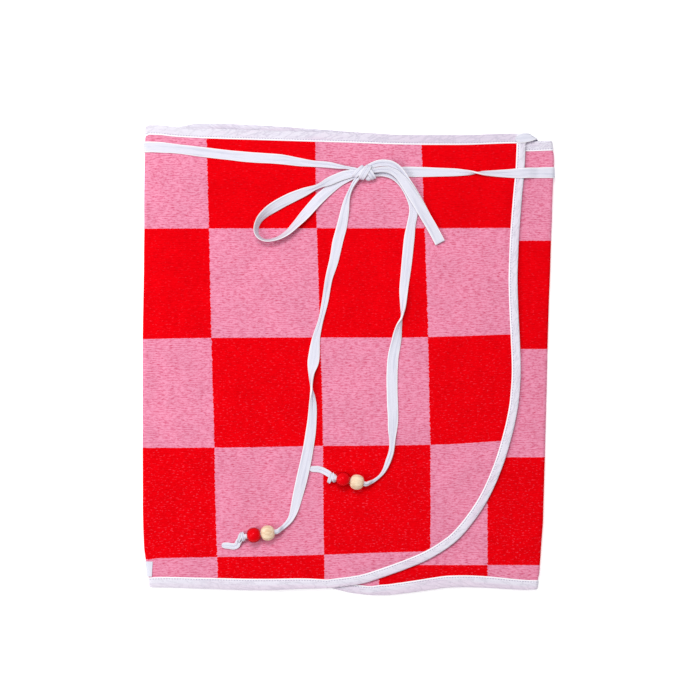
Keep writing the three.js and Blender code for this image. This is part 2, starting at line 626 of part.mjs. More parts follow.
const leftTieStops = [
  ...cornerTurn, ...backRun,
  ...aroundLeftFold(218.4).map((stop) => ({ ...stop, wide: [0, -1, 0] })),
  ...onCloth(leftStretch).map(turned),
];

const startZ = underZ(-192, 230);
const rightTieStops = [
  ...placed([
    [-191.8, 228.4, startZ, 54, 4], [-194.6, 231.4, startZ, 44, 4.4], [-197.6, 234.6, startZ, 20, 5],
    [-199, 238, startZ - 0.3, 4, 5.2], [-199.2, 240, startZ - 1.6, 0, 5.2],
    [-199.2, 240.4, startZ - 3, 0, 5.2],
    [-199.2, 239.9, second + 0.8, 0, 5.2], [-199, 237.6, second, 0, 5.2], [-198, 231, second, 12, 5],
    [-194, 224.4, second, 34, 4.4, 0.6], [-187.5, 219.6, second, 58, 4.2, 0.6], [-178, 217, second, 78, 4.8],
  ]),
  ...placed([
    [-160, 215.6, second, 84, 5.3], [-110, 212.6, second, 86.5, 5.4], [-60, 209.4, second, 86.5, 5.4],
    [-10, 206, second, 86.5, 5.4], [40, 202.6, second, 86.5, 5.4], [90, 199.2, second, 86.5, 5.4],
    [140, 195.8, second, 86.5, 5.4], [175, 193.4, second, 87.5, 5.4], [200, 192.2, second, 90, 5.5],
  ]),
  ...aroundRightFold(192).map((stop) => ({ ...stop, wide: [0, 1, 0] })),
  ...placed([
    [205.5, 192, underZ(205.5, 192) + clothHalf + resting, 90, 5.6],
    [199, 191.9, surfaceZ(199, 192) + resting + 0.3, 90, 5.6],
    [194, 191.8, surfaceZ(194, 192) + resting + 0.3, 90, 5.5],
    [189.5, 191.7, surfaceZ(189.5, 192) + resting + 0.3, 90, 5.5],
  ]),
  ...onCloth(rightStretch).map(turned),
];

const restZ = (x, y) => frontZ(x, y) + clothHalf + gap;

// The tie's end: flat, then squeezed through both beads, a stop knot, and the loose end.
function tailStops(table, place) {
  const path = onCloth(table);
  const [px, py] = place.plain;
  const [rx, ry] = place.red;
  const size = Math.hypot(rx - px, ry - py);
  const [dx, dy] = [(rx - px) / size, (ry - py) / size];
  const bore = beadHeight(place);
  const across = [-dy, dx, 0];
  const through = [-beadHalfLong - 3, -beadHalfLong, 0, beadHalfLong, size, size + beadHalfLong, size + 10];
  const cord = through.map((run) => ({
    at: [px + dx * run, py + dy * run, bore], wide: across, half: cordRadius, thick: cordRadius,
  }));
  const last = path[path.length - 1];
  const easeIn = [0.35, 0.7].map((part) => ({
    at: [
      mix(last.at[0], cord[0].at[0], part), mix(last.at[1], cord[0].at[1], part),
      mix(last.at[2], bore, ease(part)),
    ],
    wide: across, half: mix(last.half, cordRadius, part), thick: mix(last.thick, cordRadius, part),
  }));
  return [...path, ...easeIn, ...cord];
}
function beadHeight(place) {
  return Math.max(restZ(...place.plain), restZ(...place.red)) + beadRadius;
}
function endStops(place) {
  const [kx, ky] = place.knot;
  return placed(place.end.map(([x, y], k) => {
    const before = place.end[k - 1] || [kx, ky];
    const after = place.end[k + 1] || place.end[k];
    const aim = (Math.atan2(after[1] - before[1], after[0] - before[0]) * 180) / Math.PI + 90;
    const part = k / (place.end.length - 1);
    const z = restZ(x, y) + mix(4, tapeHalfThick + 0.3, ease(part * 1.4));
    return [x, y, z, aim, endHalf[k], mix(1.1, tapeHalfThick, part)];
  }));
}

function lump(middle, half, round = 14, high = 9) {
  const geometry = new THREE.SphereGeometry(1, round, high);
  geometry.scale(...half);
  geometry.translate(...middle);
  return geometry;
}

const wasm = await Module();
wasm.setup();
function asSolid(geometry) {
  const plain = geometry.index ? geometry.toNonIndexed() : geometry;
  const seen = new Map();
  const points = [];
  const corners = [];
  const p = plain.getAttribute("position");
  for (let i = 0; i < p.count; i += 1) {
    const key = [p.getX(i), p.getY(i), p.getZ(i)].map((v) => Math.round(v * 1e4)).join();
    if (!seen.has(key)) {
      seen.set(key, points.length / 3);
      points.push(p.getX(i), p.getY(i), p.getZ(i));
    }
    corners.push(seen.get(key));
  }
  const kept = [];
  for (let i = 0; i < corners.length; i += 3) {
    const [a, b, c] = corners.slice(i, i + 3);
    if (a !== b && b !== c && c !== a) kept.push(a, b, c);
  }
  return new wasm.Manifold(new wasm.Mesh({
    numProp: 3, vertProperties: new Float32Array(points), triVerts: new Uint32Array(kept),
  }));
}
function fromSolid(solid) {
  const mesh = solid.getMesh();
  const geometry = new THREE.BufferGeometry();
  geometry.setAttribute("position", new THREE.Float32BufferAttribute(mesh.vertProperties, 3));
  geometry.setIndex(new THREE.Uint32BufferAttribute(mesh.triVerts, 1));
  geometry.computeVertexNormals();
  return geometry;
}

function tiesGeometry() {
  const knotZ = surfaceZ(...knotMiddle) + gap + knotHalf[2] + 0.3;
  const pieces = [
    tape(leftTieStops), tape(rightTieStops), tape(onCloth(leftLoop)),
    tape(foldedLoop(onCloth(rightLoopOver), onCloth(rightLoopBack).map(turned))),
    lump([...knotMiddle, knotZ], knotHalf),
  ];
  beadPlaces.forEach((place, i) => {
    pieces.push(tape(tailStops(i ? farTail : plainTail, place)), tape(endStops(place)));
    const [kx, ky] = place.knot;
    pieces.push(lump([kx, ky, restZ(kx, ky) + 4.6], [4.3, 4.9, 4.3], 12, 8));
  });
  return fromSolid(wasm.Manifold.union(pieces.map(asSolid)));
}

// Beads.
function beadGeometry(at, towards, height) {
  const profile = [
    [boreRadius, -beadHalfLong], [4.4, -beadHalfLong + 0.1], [6.3, -5.4], [7.5, -3], [beadRadius, 0],
    [7.5, 3], [6.3, 5.4], [4.4, beadHalfLong - 0.1], [boreRadius, beadHalfLong],
  ];
  const turned = [...profile, profile[0]].map(([r, z]) => new THREE.Vector2(r, z));
  const geometry = new THREE.LatheGeometry(turned, 16);
  const aim = Math.atan2(towards[1] - at[1], towards[0] - at[0]);
  geometry.rotateZ(-Math.PI / 2);
  geometry.rotateZ(aim);
  geometry.translate(at[0], at[1], height);
  const solid = asSolid(geometry);
  return fromSolid(solid);
}

// The part.
const paint = {
  cloth: new THREE.MeshStandardMaterial({ name: "terry", color: 0xe23a58, roughness: 0.95 }),
  binding: new THREE.MeshStandardMaterial({ name: "binding", color: 0xefeaf5, roughness: 0.9 }),
  tie: new THREE.MeshStandardMaterial({ name: "tie", color: 0xf4f2f6, roughness: 0.9 }),
  plain: new THREE.MeshStandardMaterial({ name: "plain wood", color: 0xebcaad, roughness: 0.5 }),
  red: new THREE.MeshStandardMaterial({ name: "red wood", color: 0xd80a20, roughness: 0.35 }),
};

const wrap = new THREE.Group();
function add(name, geometry, material) {
  const mesh = new THREE.Mesh(geometry, material);
  mesh.name = name;
  wrap.add(mesh);
}
add("wrap_cloth", clothGeometry(), paint.cloth);
add("waist_binding", waistGeometry(), paint.binding);
add("edge_binding", edgeGeometry(), paint.binding);
add("waist_ties", tiesGeometry(), paint.tie);
add("blank_tab", tabGeometry(), paint.tie);
beadPlaces.forEach((place, i) => {
  const height = beadHeight(place);
  add(`bead_plain_${i + 1}`, beadGeometry(place.plain, place.red, height), paint.plain);
  add(`bead_red_${i + 1}`, beadGeometry(place.red, place.plain, height), paint.red);
});

// The origin is the middle of the underside of the whole.
const box = new THREE.Box3().setFromObject(wrap);
const middle = box.getCenter(new THREE.Vector3());
for (const mesh of wrap.children) mesh.geometry.translate(-middle.x, -middle.y, -box.min.z);

export default wrap;
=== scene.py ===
import math
import bmesh
import bpy
import numpy as np
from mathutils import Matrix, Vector, noise


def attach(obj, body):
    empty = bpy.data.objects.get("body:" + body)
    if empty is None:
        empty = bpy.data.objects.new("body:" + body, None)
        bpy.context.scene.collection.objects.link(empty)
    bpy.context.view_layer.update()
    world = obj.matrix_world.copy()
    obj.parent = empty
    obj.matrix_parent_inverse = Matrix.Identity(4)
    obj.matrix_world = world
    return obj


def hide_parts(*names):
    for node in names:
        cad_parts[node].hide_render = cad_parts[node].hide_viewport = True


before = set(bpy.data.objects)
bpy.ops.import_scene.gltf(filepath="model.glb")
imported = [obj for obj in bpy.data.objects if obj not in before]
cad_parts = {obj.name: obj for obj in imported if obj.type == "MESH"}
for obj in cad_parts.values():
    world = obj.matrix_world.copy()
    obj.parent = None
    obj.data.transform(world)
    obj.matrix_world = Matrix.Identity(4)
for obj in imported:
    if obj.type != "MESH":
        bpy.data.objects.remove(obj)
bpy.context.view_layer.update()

# Lengths are millimetres in the layout of part.mjs; toFrame moves a point into the frame, in metres.
toFrame = {"x": 1.3256, "y": 0.3, "metre": 0.001}

cloth = {
    "half": 1.3, "pressedHalf": 0.6, "pitch": 3.4, "bareDrop": 2.2, "tapeLift": 3.0, "tabLift": 0.9,
    "foldRoom": 2.4, "square": 111.9, "rowsMiddle": 146, "front": 150, "turns": 12, "back": 60, "under": 60,
    "nearEdge": 18, "nearShare": 0.13, "foldAt": {"left": -209.0, "right": 203.0}, "lineEnd": -206.0,
}
foldSides = ("left", "right")
gap = 0.3
binding = {
    "thick": 0.6, "edgeWide": 9.3, "waistWide": 10.3, "seam": 1.9, "waistKind": 1.0, "edgeKind": 21.0,
    "puckersFrom": 0.6, "lowest": 0.02, "leanReach": 36, "skipRows": 4,
}
edgeRoom = gap + binding["thick"]
binding["half"] = cloth["pressedHalf"] + edgeRoom
tape = {"halfThick": 0.5, "turnWide": 5.6, "cord": 2.5, "step": 2.0, "lowest": 0.03, "bandSections": 31}
resting = gap + tape["halfThick"] + 0.1

freeEdge = {
    "y": [-236.4, -231.8, -225.9, -217.3, -207, -196.7, -186.4, -165.8, -145.2, -124.6, -104,
          -83.4, -62.8, -42.2, -11.3, 19.6, 50.5, 81.4, 112.3, 163.8, 199.8, 232.5],
    "x": [-22.4, 11.5, 31.2, 55.6, 80.3, 97.9, 111.2, 128.8, 142.1, 151.9, 159.7,
          165.8, 170.8, 174.2, 176.1, 175.1, 173.6, 172.7, 173.6, 176.9, 180, 181.2],
}
hiddenEdge = {
    "y": [-244, -241.7, -238.2, -233.4, -224.8, -214.5, -204.2, -193.9, -173.3, -152.7, -132.1,
          -111.5, -80, -40, 20, 100, 236],
    "x": [22, 2, -13, -31.6, -56, -80.7, -98.3, -111.6, -129.2, -142.5, -153,
          -162, -173, -181, -186.5, -189, -190],
}
leftFold = {
    "y": [-236, -225.6, -209.1, -191.6, -145.2, 19.6, 81.4, 174.1, 241.5],
    "x": [-207, -208.6, -210.8, -213, -214.2, -214.2, -213.2, -212.2, -211.2],
}
rightFold = {
    "y": [-238, -222.8, -186.7, -166.1, -124.8, -83.6, -42.3, -1, 40.2, 81.5, 122.8, 164, 184.8, 205, 225.5],
    "x": [193.6, 195.6, 198.1, 199.6, 200.8, 201.9, 203, 204, 205, 206.6, 207.9, 209, 209.8, 210.6, 208.6],
}
topEdge = {
    "front": {"x": [-211.2, -197, -180, -154.5, -103, -51.5, 0, 51.5, 82.4, 113.3, 164.8, 181],
              "y": [241.4, 240.9, 239, 237.6, 235.9, 234.3, 232.8, 231, 230.6, 230.6, 232.2, 232.3]},
    "under": {"x": [-190, -100, 0, 100, 182.5, 208.6], "y": [236, 231, 226.8, 224.4, 224.4, 225.2]},
    "back": {"x": [-211.2, -204, -190, -180, -170, -155, -134, -113.5, -93, -72, -51.6, -31, -10, 10, 31,
                   51.6, 93, 150, 208.6],
             "y": [241.4, 238.3, 236.8, 238.4, 241.4, 243.4, 243.4, 242.4, 241.4, 240.2, 238.7, 237.2, 235.6,
                   234.1, 232.8, 231.3, 228.8, 226, 225.2]},
}
hemEdge = {
    "front": {"x": [-207, -191, -160, -129, -98, -82, -67, -52, -22.4],
              "y": [-235.7, -235.8, -236.8, -237.9, -238.7, -238.6, -238, -237.1, -236.4]},
    "under": {"x": [22, 36, 51.5, 72, 88, 103, 118, 134, 150, 165, 180, 194.2],
              "y": [-244, -244, -242.6, -240, -237.7, -236, -235.7, -236, -236.8, -237.8, -238.4, -238]},
    "back": {"x": [-207, -100, 0, 100, 194.2], "y": [-235.7, -235, -234.5, -234.7, -238]},
}
# The hem's binding is wider than the same strip up the sides.
hemWide = {
    "front": {"x": [-207, -196, -154, -82, -45, -24], "y": [10.4, 11, 11.6, 12, 10.8, 9.3]},
    "under": {"x": [22, 36, 113, 165, 194.2], "y": [9.6, 11.2, 12.4, 11.2, 9.6]},
    "back": {"x": [-207, -150, 150, 194.2], "y": [10.4, 11.2, 11.2, 9.6]},
}
# The lines between the squares, as they lie on the front and on the strip beside it.
columnLines = {
    3: {"y": [-217.3, -155.5, -93.7, -52.5, -11.3, 40.2, 112.3, 215.3],
        "x": [-136.5, -138.5, -139.6, -140.6, -142.1, -143.2, -144.7, -147.3]},
    2: {"y": [-212.2, -171, -93.7, -31.9, 19.6, 60.8, 112.3, 163.8, 215.3],
        "x": [-26.3, -27.3, -27.8, -28.8, -30.9, -31.9, -33.5, -35, -35.5]},
    1: {"y": [-186.4, -93.7, -52.5, -1, 50.5, 112.3, 174.1, 215.3],
        "x": [82.9, 82.9, 81.9, 80.9, 79.8, 77.8, 75.2, 73.6]},
}
rowLines = [
    {"x": [-206, 160], "y": [134.4, 134.9]},
    {"x": [-206, -154.5, -51.5, 51.5, 103, 159.7], "y": [20.6, 21.6, 22.1, 22.1, 23.2, 25.2]},
    {"x": [-206, -123.6, -30.9, 41.2, 92.7, 154.5], "y": [-91.7, -91.2, -89.6, -89.1, -88.1, -84.5]},
    {"x": [-210, -197.8, -154.5, -92.7, -20.6, 36.1, 72.1, 140],
     "y": [-207.5, -205.5, -204.5, -203.4, -201.4, -199.3, -198.3, -194]},
]
underRows = [122.1, 10.3, -101.5, -212.7]
underColumn = 141.9


def mix(a, b, share):
    return a + (b - a) * share


def ease(value):
    share = np.clip(value, 0, 1)
    return share * share * (3 - 2 * share)


# A smooth curve through a table that never swings past its values.
def curve(at, values):
    at, values = np.array(at, float), np.array(values, float)
    slope = np.diff(values) / np.diff(at)
    tangent = np.empty(len(at))
    tangent[0], tangent[-1] = slope[0], slope[-1]
    a, b = slope[:-1], slope[1:]
    same = a * b > 0
    tangent[1:-1] = np.where(same, 2 * a * b / np.where(same, a + b, 1), 0)

    def read(p):
        p = np.clip(np.asarray(p, float), at[0], at[-1])
        i = np.clip(np.searchsorted(at, p, side="right") - 1, 0, len(at) - 2)
        h = at[i + 1] - at[i]
        u = (p - at[i]) / h
        v = 1 - u
        return (values[i] * (1 + 2 * u) * v * v + values[i + 1] * (1 + 2 * v) * u * u
                + h * u * v * (tangent[i] * v - tangent[i + 1] * u))
    return read


# The curve of an edge, moved sideways onto the cloth.
def inset(table, inward, side):
    at = curve(table["y"], table["x"])
    y = np.array(table["y"], float)
    run = (at(y + 1) - at(y - 1)) / 2
    size = np.hypot(run, 1)
    newY = y - inward * run * side / size
    newX = np.array(table["x"], float) + inward * side / size
    order = np.argsort(newY)
    return curve(newY[order], newX[order])


freeX = inset(freeEdge, edgeRoom, -1)
hiddenX = inset(hiddenEdge, edgeRoom, 1)
leftX = curve(leftFold["y"], leftFold["x"])
rightX = curve(rightFold["y"], rightFold["x"])
topY = {name: curve(t["x"], t["y"]) for name, t in topEdge.items()}
hemY = {name: curve(t["x"], t["y"]) for name, t in hemEdge.items()}
hemWideAt = {name: curve(t["x"], t["y"]) for name, t in hemWide.items()}


# Where each change of the layers' heights starts, and how far it runs. The bindings press the cloth along
# its edges, over the first width at the hem and the second elsewhere.
zones = {
    "waist": (118, 64), "tab": (22, 60), "tabAt": (-208, -216), "hem": (-222, 14), "bare": (3, 17),
    "lowestEdge": -243, "ripple": 0.35, "flatLeft": (-205, 40), "pastEdge": (2.5, 12),
    "pressed": (11.5, 8.2), "pressedFrom": (-228, 20), "pressedRun": 4.5, "reliefRun": 5,
}


def part(name, value):
    start, run = zones[name]
    return ease((value - start) / run)


# Heights of the layers' middle surfaces.
def lift(x, y):
    waistPart = part("waist", y)
    tabPart = 1 - part("tab", np.hypot(x - zones["tabAt"][0], y - zones["tabAt"][1]))
    return cloth["tapeLift"] * waistPart + cloth["tabLift"] * tabPart * (1 - waistPart)


def backZ(x, y):
    return mix(binding["half"], cloth["half"], part("hem", y)) + lift(x, y)


def underZ(x, y):
    return backZ(x, y) + cloth["pitch"]


def frontZ(x, y):
    slope = np.abs(hiddenX(y + 3) - hiddenX(y - 3)) / 6
    outside = np.where(y < zones["lowestEdge"], 99, hiddenX(y) - 1 - x) / np.hypot(slope, 1)
    ripple = zones["ripple"] * (1 + np.sin(x / 31 + y / 83) * np.cos(y / 47 - x / 140))
    low = underZ(x, y) + cloth["pitch"] - cloth["bareDrop"] * part("bare", outside)
    return low + ripple * part("flatLeft", x)


panelZ = {"front": frontZ, "back": backZ, "under": underZ}


# A point of a fold: turn 0 is where the fold starts, pi where it ends.
def foldPoint(side, turn, y):
    left = side == "left"
    reach = leftX(y) if left else rightX(y)
    sign = -1 if left else 1
    near = reach - sign * (cloth["half"] + cloth["foldRoom"])
    low = backZ(near, y)
    high = frontZ(near, y) if left else underZ(near, y)
    radius = (high - low) / 2
    x = reach - sign * (cloth["half"] + radius) + sign * radius * np.sin(turn)
    up = np.cos(turn) * (1 if left else -1)
    z = (high + low) / 2 + radius * up
    return x, z, sign * np.sin(turn) + 0 * y, up + 0 * y, radius


def foldStart(side, y):
    return foldPoint(side, 0.0, y)[0]


# The fine grid of the folded cloth: shares of its height and steps from its edges.
def rowTable():
    steps = [(0, s) for s in (0, 0.8, 1.8, 3, 4.6, 6.6, 9, 12)]
    steps += [(s, 0) for s in np.linspace(0.033, 0.964, cloth["rowsMiddle"])]
    steps += [(1, -s) for s in (14, 12.2, 10.8, 9.5, 6.5, 3.2, 0)]
    return np.array([s[0] for s in steps]), np.array([s[1] for s in steps])


rowShare, rowStep = rowTable()


def rowY(panel, x):
    return mix(hemY[panel](x) + edgeRoom, topY[panel](x) - edgeRoom, rowShare) + rowStep


# The rows' heights where they meet a panel's curved edge.
def edgeRow(panel):
    edge = freeX if panel == "front" else hiddenX
    y = rowY(panel, 170.0 if panel == "front" else -185.0)
    for _ in range(60):
        y = mix(y, rowY(panel, edge(y)), 0.5)
    return y


edgeRowY = {"front": edgeRow("front"), "under": edgeRow("under")}


# A column of a panel; its ends depend on the rows, so it is found in a few rounds.
def panelColumn(panel, share):
    x = np.full(len(rowShare), 0.0)
    y = rowY(panel, x)
    for _ in range(14):
        if panel == "front":
            ends = freeX(edgeRowY["front"]), foldStart("left", y)
        elif panel == "back":
            ends = foldStart("left", y), foldStart("right", y)
        else:
            ends = foldStart("right", y), hiddenX(edgeRowY["under"])
        x = mix(ends[0], ends[1], share)
        y = rowY(panel, x)
    return x, y


def gridColumns():
    turns = np.linspace(0, math.pi, cloth["turns"] + 1)[1:-1]
    near = np.linspace(0, cloth["nearShare"], cloth["nearEdge"])
    far = np.linspace(cloth["nearShare"], 1, cloth["under"] - cloth["nearEdge"] + 1)[1:]
    front, back = np.linspace(0, 1, cloth["front"]), np.linspace(0, 1, cloth["back"])
    under = np.concatenate([near, far])
    parts = {"front": front, "left": turns, "back": back, "right": turns, "under": under}
    return [(kind, at) for kind, places in parts.items() for at in places]


columnLine = {k: curve(t["y"], t["x"]) for k, t in columnLines.items()}
rowLine = [curve(t["x"], t["y"]) for t in rowLines]


# The squares' own coordinates: whole numbers fall on the lines between squares.
def acrossFront(x, y):
    one, two, three = (columnLine[k](y) for k in (1, 2, 3))
    right = 1 - (x - one) / cloth["square"]
    middle = 1 + (one - x) / (one - two)
    nearLeft = 2 + (two - x) / (two - three)
    left = 3 + (three - x) / cloth["square"]
    return np.where(x > one, right, np.where(x > two, middle, np.where(x > three, nearLeft, left)))


def downRows(y, lines):
    out = 1 - (y - lines[0]) / cloth["square"]
    for k in range(3):
        out = np.where(y < lines[k], k + 1 + (lines[k] - y) / (lines[k] - lines[k + 1]), out)
    return np.where(y < lines[3], 4 + (lines[3] - y) / cloth["square"], out)


def makeGrid():
    columns = gridColumns()
    shape = (len(columns), len(rowShare))
    g = {k: np.zeros(shape) for k in ("x", "y", "z", "nx", "nz", "u", "v", "deep")}
    g["columns"] = columns
    frontAtLeft = [line(cloth["lineEnd"]) for line in rowLine]
    for i, (kind, at) in enumerate(columns):
        if kind in foldSides:
            y = rowY("back", cloth["foldAt"][kind])
            x, z, nx, nz, radius = foldPoint(kind, at, y)
            g["nx"][i], g["nz"][i] = nx, nz
            if kind == "left":
                start = foldStart("left", y)
                g["u"][i] = acrossFront(start, y) + radius * at / cloth["square"]
                g["v"][i] = downRows(y, frontAtLeft)
            else:
                start = foldStart("right", y)
                g["u"][i] = 8 + (underColumn - start - radius * (math.pi - at)) / cloth["square"]
                g["v"][i] = downRows(y, underRows)
        else:
            x, y = panelColumn(kind, at)
            z = panelZ[kind](x, y)
            g["nz"][i] = -1 if kind == "back" else 1
            if kind == "front":
                g["u"][i] = acrossFront(x, y)
                g["v"][i] = downRows(y, [line(x) for line in rowLine])
            elif kind == "under":
                g["u"][i] = 8 + (underColumn - x) / cloth["square"]
                g["v"][i] = downRows(y, underRows)
            else:
                start, end = foldStart("left", y), foldStart("right", y)
                radius = foldPoint("left", 0.0, y)[4]
                uStart = acrossFront(start, y) + radius * math.pi / cloth["square"]
                uEnd = 8 + (underColumn - end - 1.7 * math.pi) / cloth["square"]
                g["u"][i] = mix(uStart, uEnd, at)
                lines = [mix(a, b, at) for a, b in zip(frontAtLeft, underRows)]
                g["v"][i] = downRows(y, lines)
        g["x"][i], g["y"][i], g["z"][i] = x, y, z
    return g


# How far each point lies from a path.
def distances(x, y, path):
    a, b = path[:-1], path[1:]
    d = b - a
    size = (d ** 2).sum(axis=1) + 1e-9
    best = np.full(x.shape, 1e9)
    for k in range(len(a)):
        along = np.clip(((x - a[k, 0]) * d[k, 0] + (y - a[k, 1]) * d[k, 1]) / size[k], 0, 1)
        best = np.minimum(best, np.hypot(x - a[k, 0] - d[k, 0] * along, y - a[k, 1] - d[k, 1] * along))
    return best


grid = makeGrid()
kinds = np.array([c[0] for c in grid["columns"]])
backLike = np.isin(kinds, ("back", "left", "right"))
# How far each point lies from the bound edges, and how much the bindings press it.
for name, own in (("front", kinds == "front"), ("back", backLike), ("under", kinds == "under")):
    xs, ys = grid["x"][own], grid["y"][own]
    paths = [np.stack([xs[:, 0], ys[:, 0]], 1)[::2], np.stack([xs[:, -1], ys[:, -1]], 1)[::2]]
    if name == "front":
        paths.append(np.stack([xs[0], ys[0]], 1)[::2])
    if name == "under":
        paths.append(np.stack([xs[-1], ys[-1]], 1)[::2])
    grid["deep"][own] = np.min([distances(xs, ys, p) for p in paths], axis=0)
covered = mix(*zones["pressed"], part("pressedFrom", grid["y"]))
grid["half"] = mix(cloth["pressedHalf"], cloth["half"], ease((grid["deep"] - covered) / zones["pressedRun"]))
print("grid", grid["x"].shape, flush=True)


sharpAngle = 40  # degrees between faces


def placedPoints(points):
    return ((np.array(points, float) + (toFrame["x"], toFrame["y"], 0)) * toFrame["metre"]).tolist()


def linked(name, data):
    made = bpy.data.objects.new(name, data)
    bpy.context.scene.collection.objects.link(made)
    return made


# A mesh from points in millimetres; faces are turned outwards, and sharp where they meet steeply.
def meshObject(name, points, faces, uv=None):
    mesh = bpy.data.meshes.new(name)
    mesh.from_pydata(placedPoints(points), [], [list(f) for f in faces])
    if uv is not None:
        layer = mesh.uv_layers.new(name="flat")
        loops = np.empty(len(mesh.loops), dtype=np.int64)
        mesh.loops.foreach_get("vertex_index", loops)
        layer.data.foreach_set("uv", np.array(uv, float)[loops].ravel())
    mesh.polygons.foreach_set("use_smooth", np.ones(len(mesh.polygons), dtype=bool))
    mesh.update()
    bm = bmesh.new()
    bm.from_mesh(mesh)
    bmesh.ops.recalc_face_normals(bm, faces=bm.faces)
    bm.to_mesh(mesh)
    bm.free()
    mesh.set_sharp_from_angle(angle=math.radians(sharpAngle))
    return linked(name, mesh)


def sweepFaces(count, size, start=0):
    faces = []
    for i in range(count - 1):
        for k in range(size):
            n = (k + 1) % size
            a, b = start + i * size + k, start + i * size + n
            c, d = start + (i + 1) * size + n, start + (i + 1) * size + k
            faces.append((a, b, c, d))
    first = range(start, start + size)
    last = range(start + (count - 1) * size, start + count * size)
    return faces + [tuple(first)[::-1], tuple(last)]


def soft(x, y, z):
    return noise.noise(Vector((x, y, z)))


# A material's node graph: each method adds one node and gives back its output.
class Graph:
    def __init__(self, name):
        self.material = bpy.data.materials.new(name)
        self.material.use_nodes = True
        self.tree = self.material.node_tree
        self.tree.nodes.clear()
        self.shader = self.add("ShaderNodeBsdfPrincipled")
        self.link(self.shader.outputs[0], self.add("ShaderNodeOutputMaterial").inputs[0])
        self.normal = None  # the last bump, for the next one to build on

    def add(self, kind):
        return self.tree.nodes.new(kind)

    def link(self, value, socket):
        if isinstance(value, (int, float)):
            socket.default_value = value
        elif isinstance(value, tuple):
            socket.default_value = (*value, 1)
        else:
            self.tree.links.new(value, socket)

    def given(self, kind, values, out=0):
        node = self.add(kind)
        for key, value in values.items():
            self.link(value, node.inputs[key])
        return node.outputs[out]

    def math(self, kind, *values):
        node = self.add("ShaderNodeMath")
        node.operation = kind
        for socket, value in zip(node.inputs, values):
            self.link(value, socket)
        return node.outputs[0]

    def times(self, a, b):
        return self.math("MULTIPLY", a, b)

    def vector(self, x, y, z=0.0):
        return self.given("ShaderNodeCombineXYZ", {0: x, 1: y, 2: z})

    # Two coordinates, each by its own scale; layer keeps one noise apart from the next.
    def stretched(self, a, scaleA, b, scaleB, layer=0.0):
        return self.vector(self.times(a, scaleA), self.times(b, scaleB), layer)

    def noise(self, vector, scale=1.0, detail=2.0, rough=0.5):
        return self.given("ShaderNodeTexNoise",
                          {"Vector": vector, "Scale": scale, "Detail": detail, "Roughness": rough})

    def step(self, value, low, high, toLow=0.0, toHigh=1.0):
        node = self.add("ShaderNodeMapRange")
        node.clamp = True
        node.interpolation_type = "SMOOTHSTEP"
        ends = {"Value": value, "From Min": low, "From Max": high, "To Min": toLow, "To Max": toHigh}
        for key, end in ends.items():
            self.link(end, node.inputs[key])
        return node.outputs[0]

    def mix(self, part, a, b):
        node = self.add("ShaderNodeMix")
        node.data_type = "RGBA"
        for k, value in ((0, part), (6, a), (7, b)):
            self.link(value, node.inputs[k])
        return node.outputs[2]

    def bump(self, height, strength, distance):
        values = {"Strength": strength, "Distance": distance, "Height": height}
        if self.normal is not None:
            values["Normal"] = self.normal
        self.normal = self.given("ShaderNodeBump", values)
        self.link(self.normal, self.shader.inputs["Normal"])

    def place(self):
        return self.add("ShaderNodeTexCoord").outputs["Object"]

    def split(self, vector):
        node = self.add("ShaderNodeSeparateXYZ")
        self.link(vector, node.inputs[0])
        return node.outputs

    # The coordinates that a piece's mesh carries with it.
    def flat(self):
        node = self.add("ShaderNodeUVMap")
        node.uv_map = "flat"
        return self.split(node.outputs[0])

    def finish(self, color, rough, shine):
        for key, value in (("Base Color", color), ("Roughness", rough), ("Specular IOR Level", shine)):
            self.link(value, self.shader.inputs[key])
        return self.material


# The deeper pink and red are painted shade in the pile's low places.
terryLook = {
    "pink": (0.765, 0.285, 0.42), "pinkHollowShade": (0.63, 0.145, 0.25), "dash": (0.50, 0.03, 0.085),
    "red": (0.735, 0.0006, 0.004), "redHollowShade": (0.60, 0.0005, 0.003), "redLight": (0.84, 0.07, 0.12),
    "jagWide": 3.0, "jagHigh": 1.0, "jagEvery": 0.6153846, "jagEveryUp": 0.5,
}


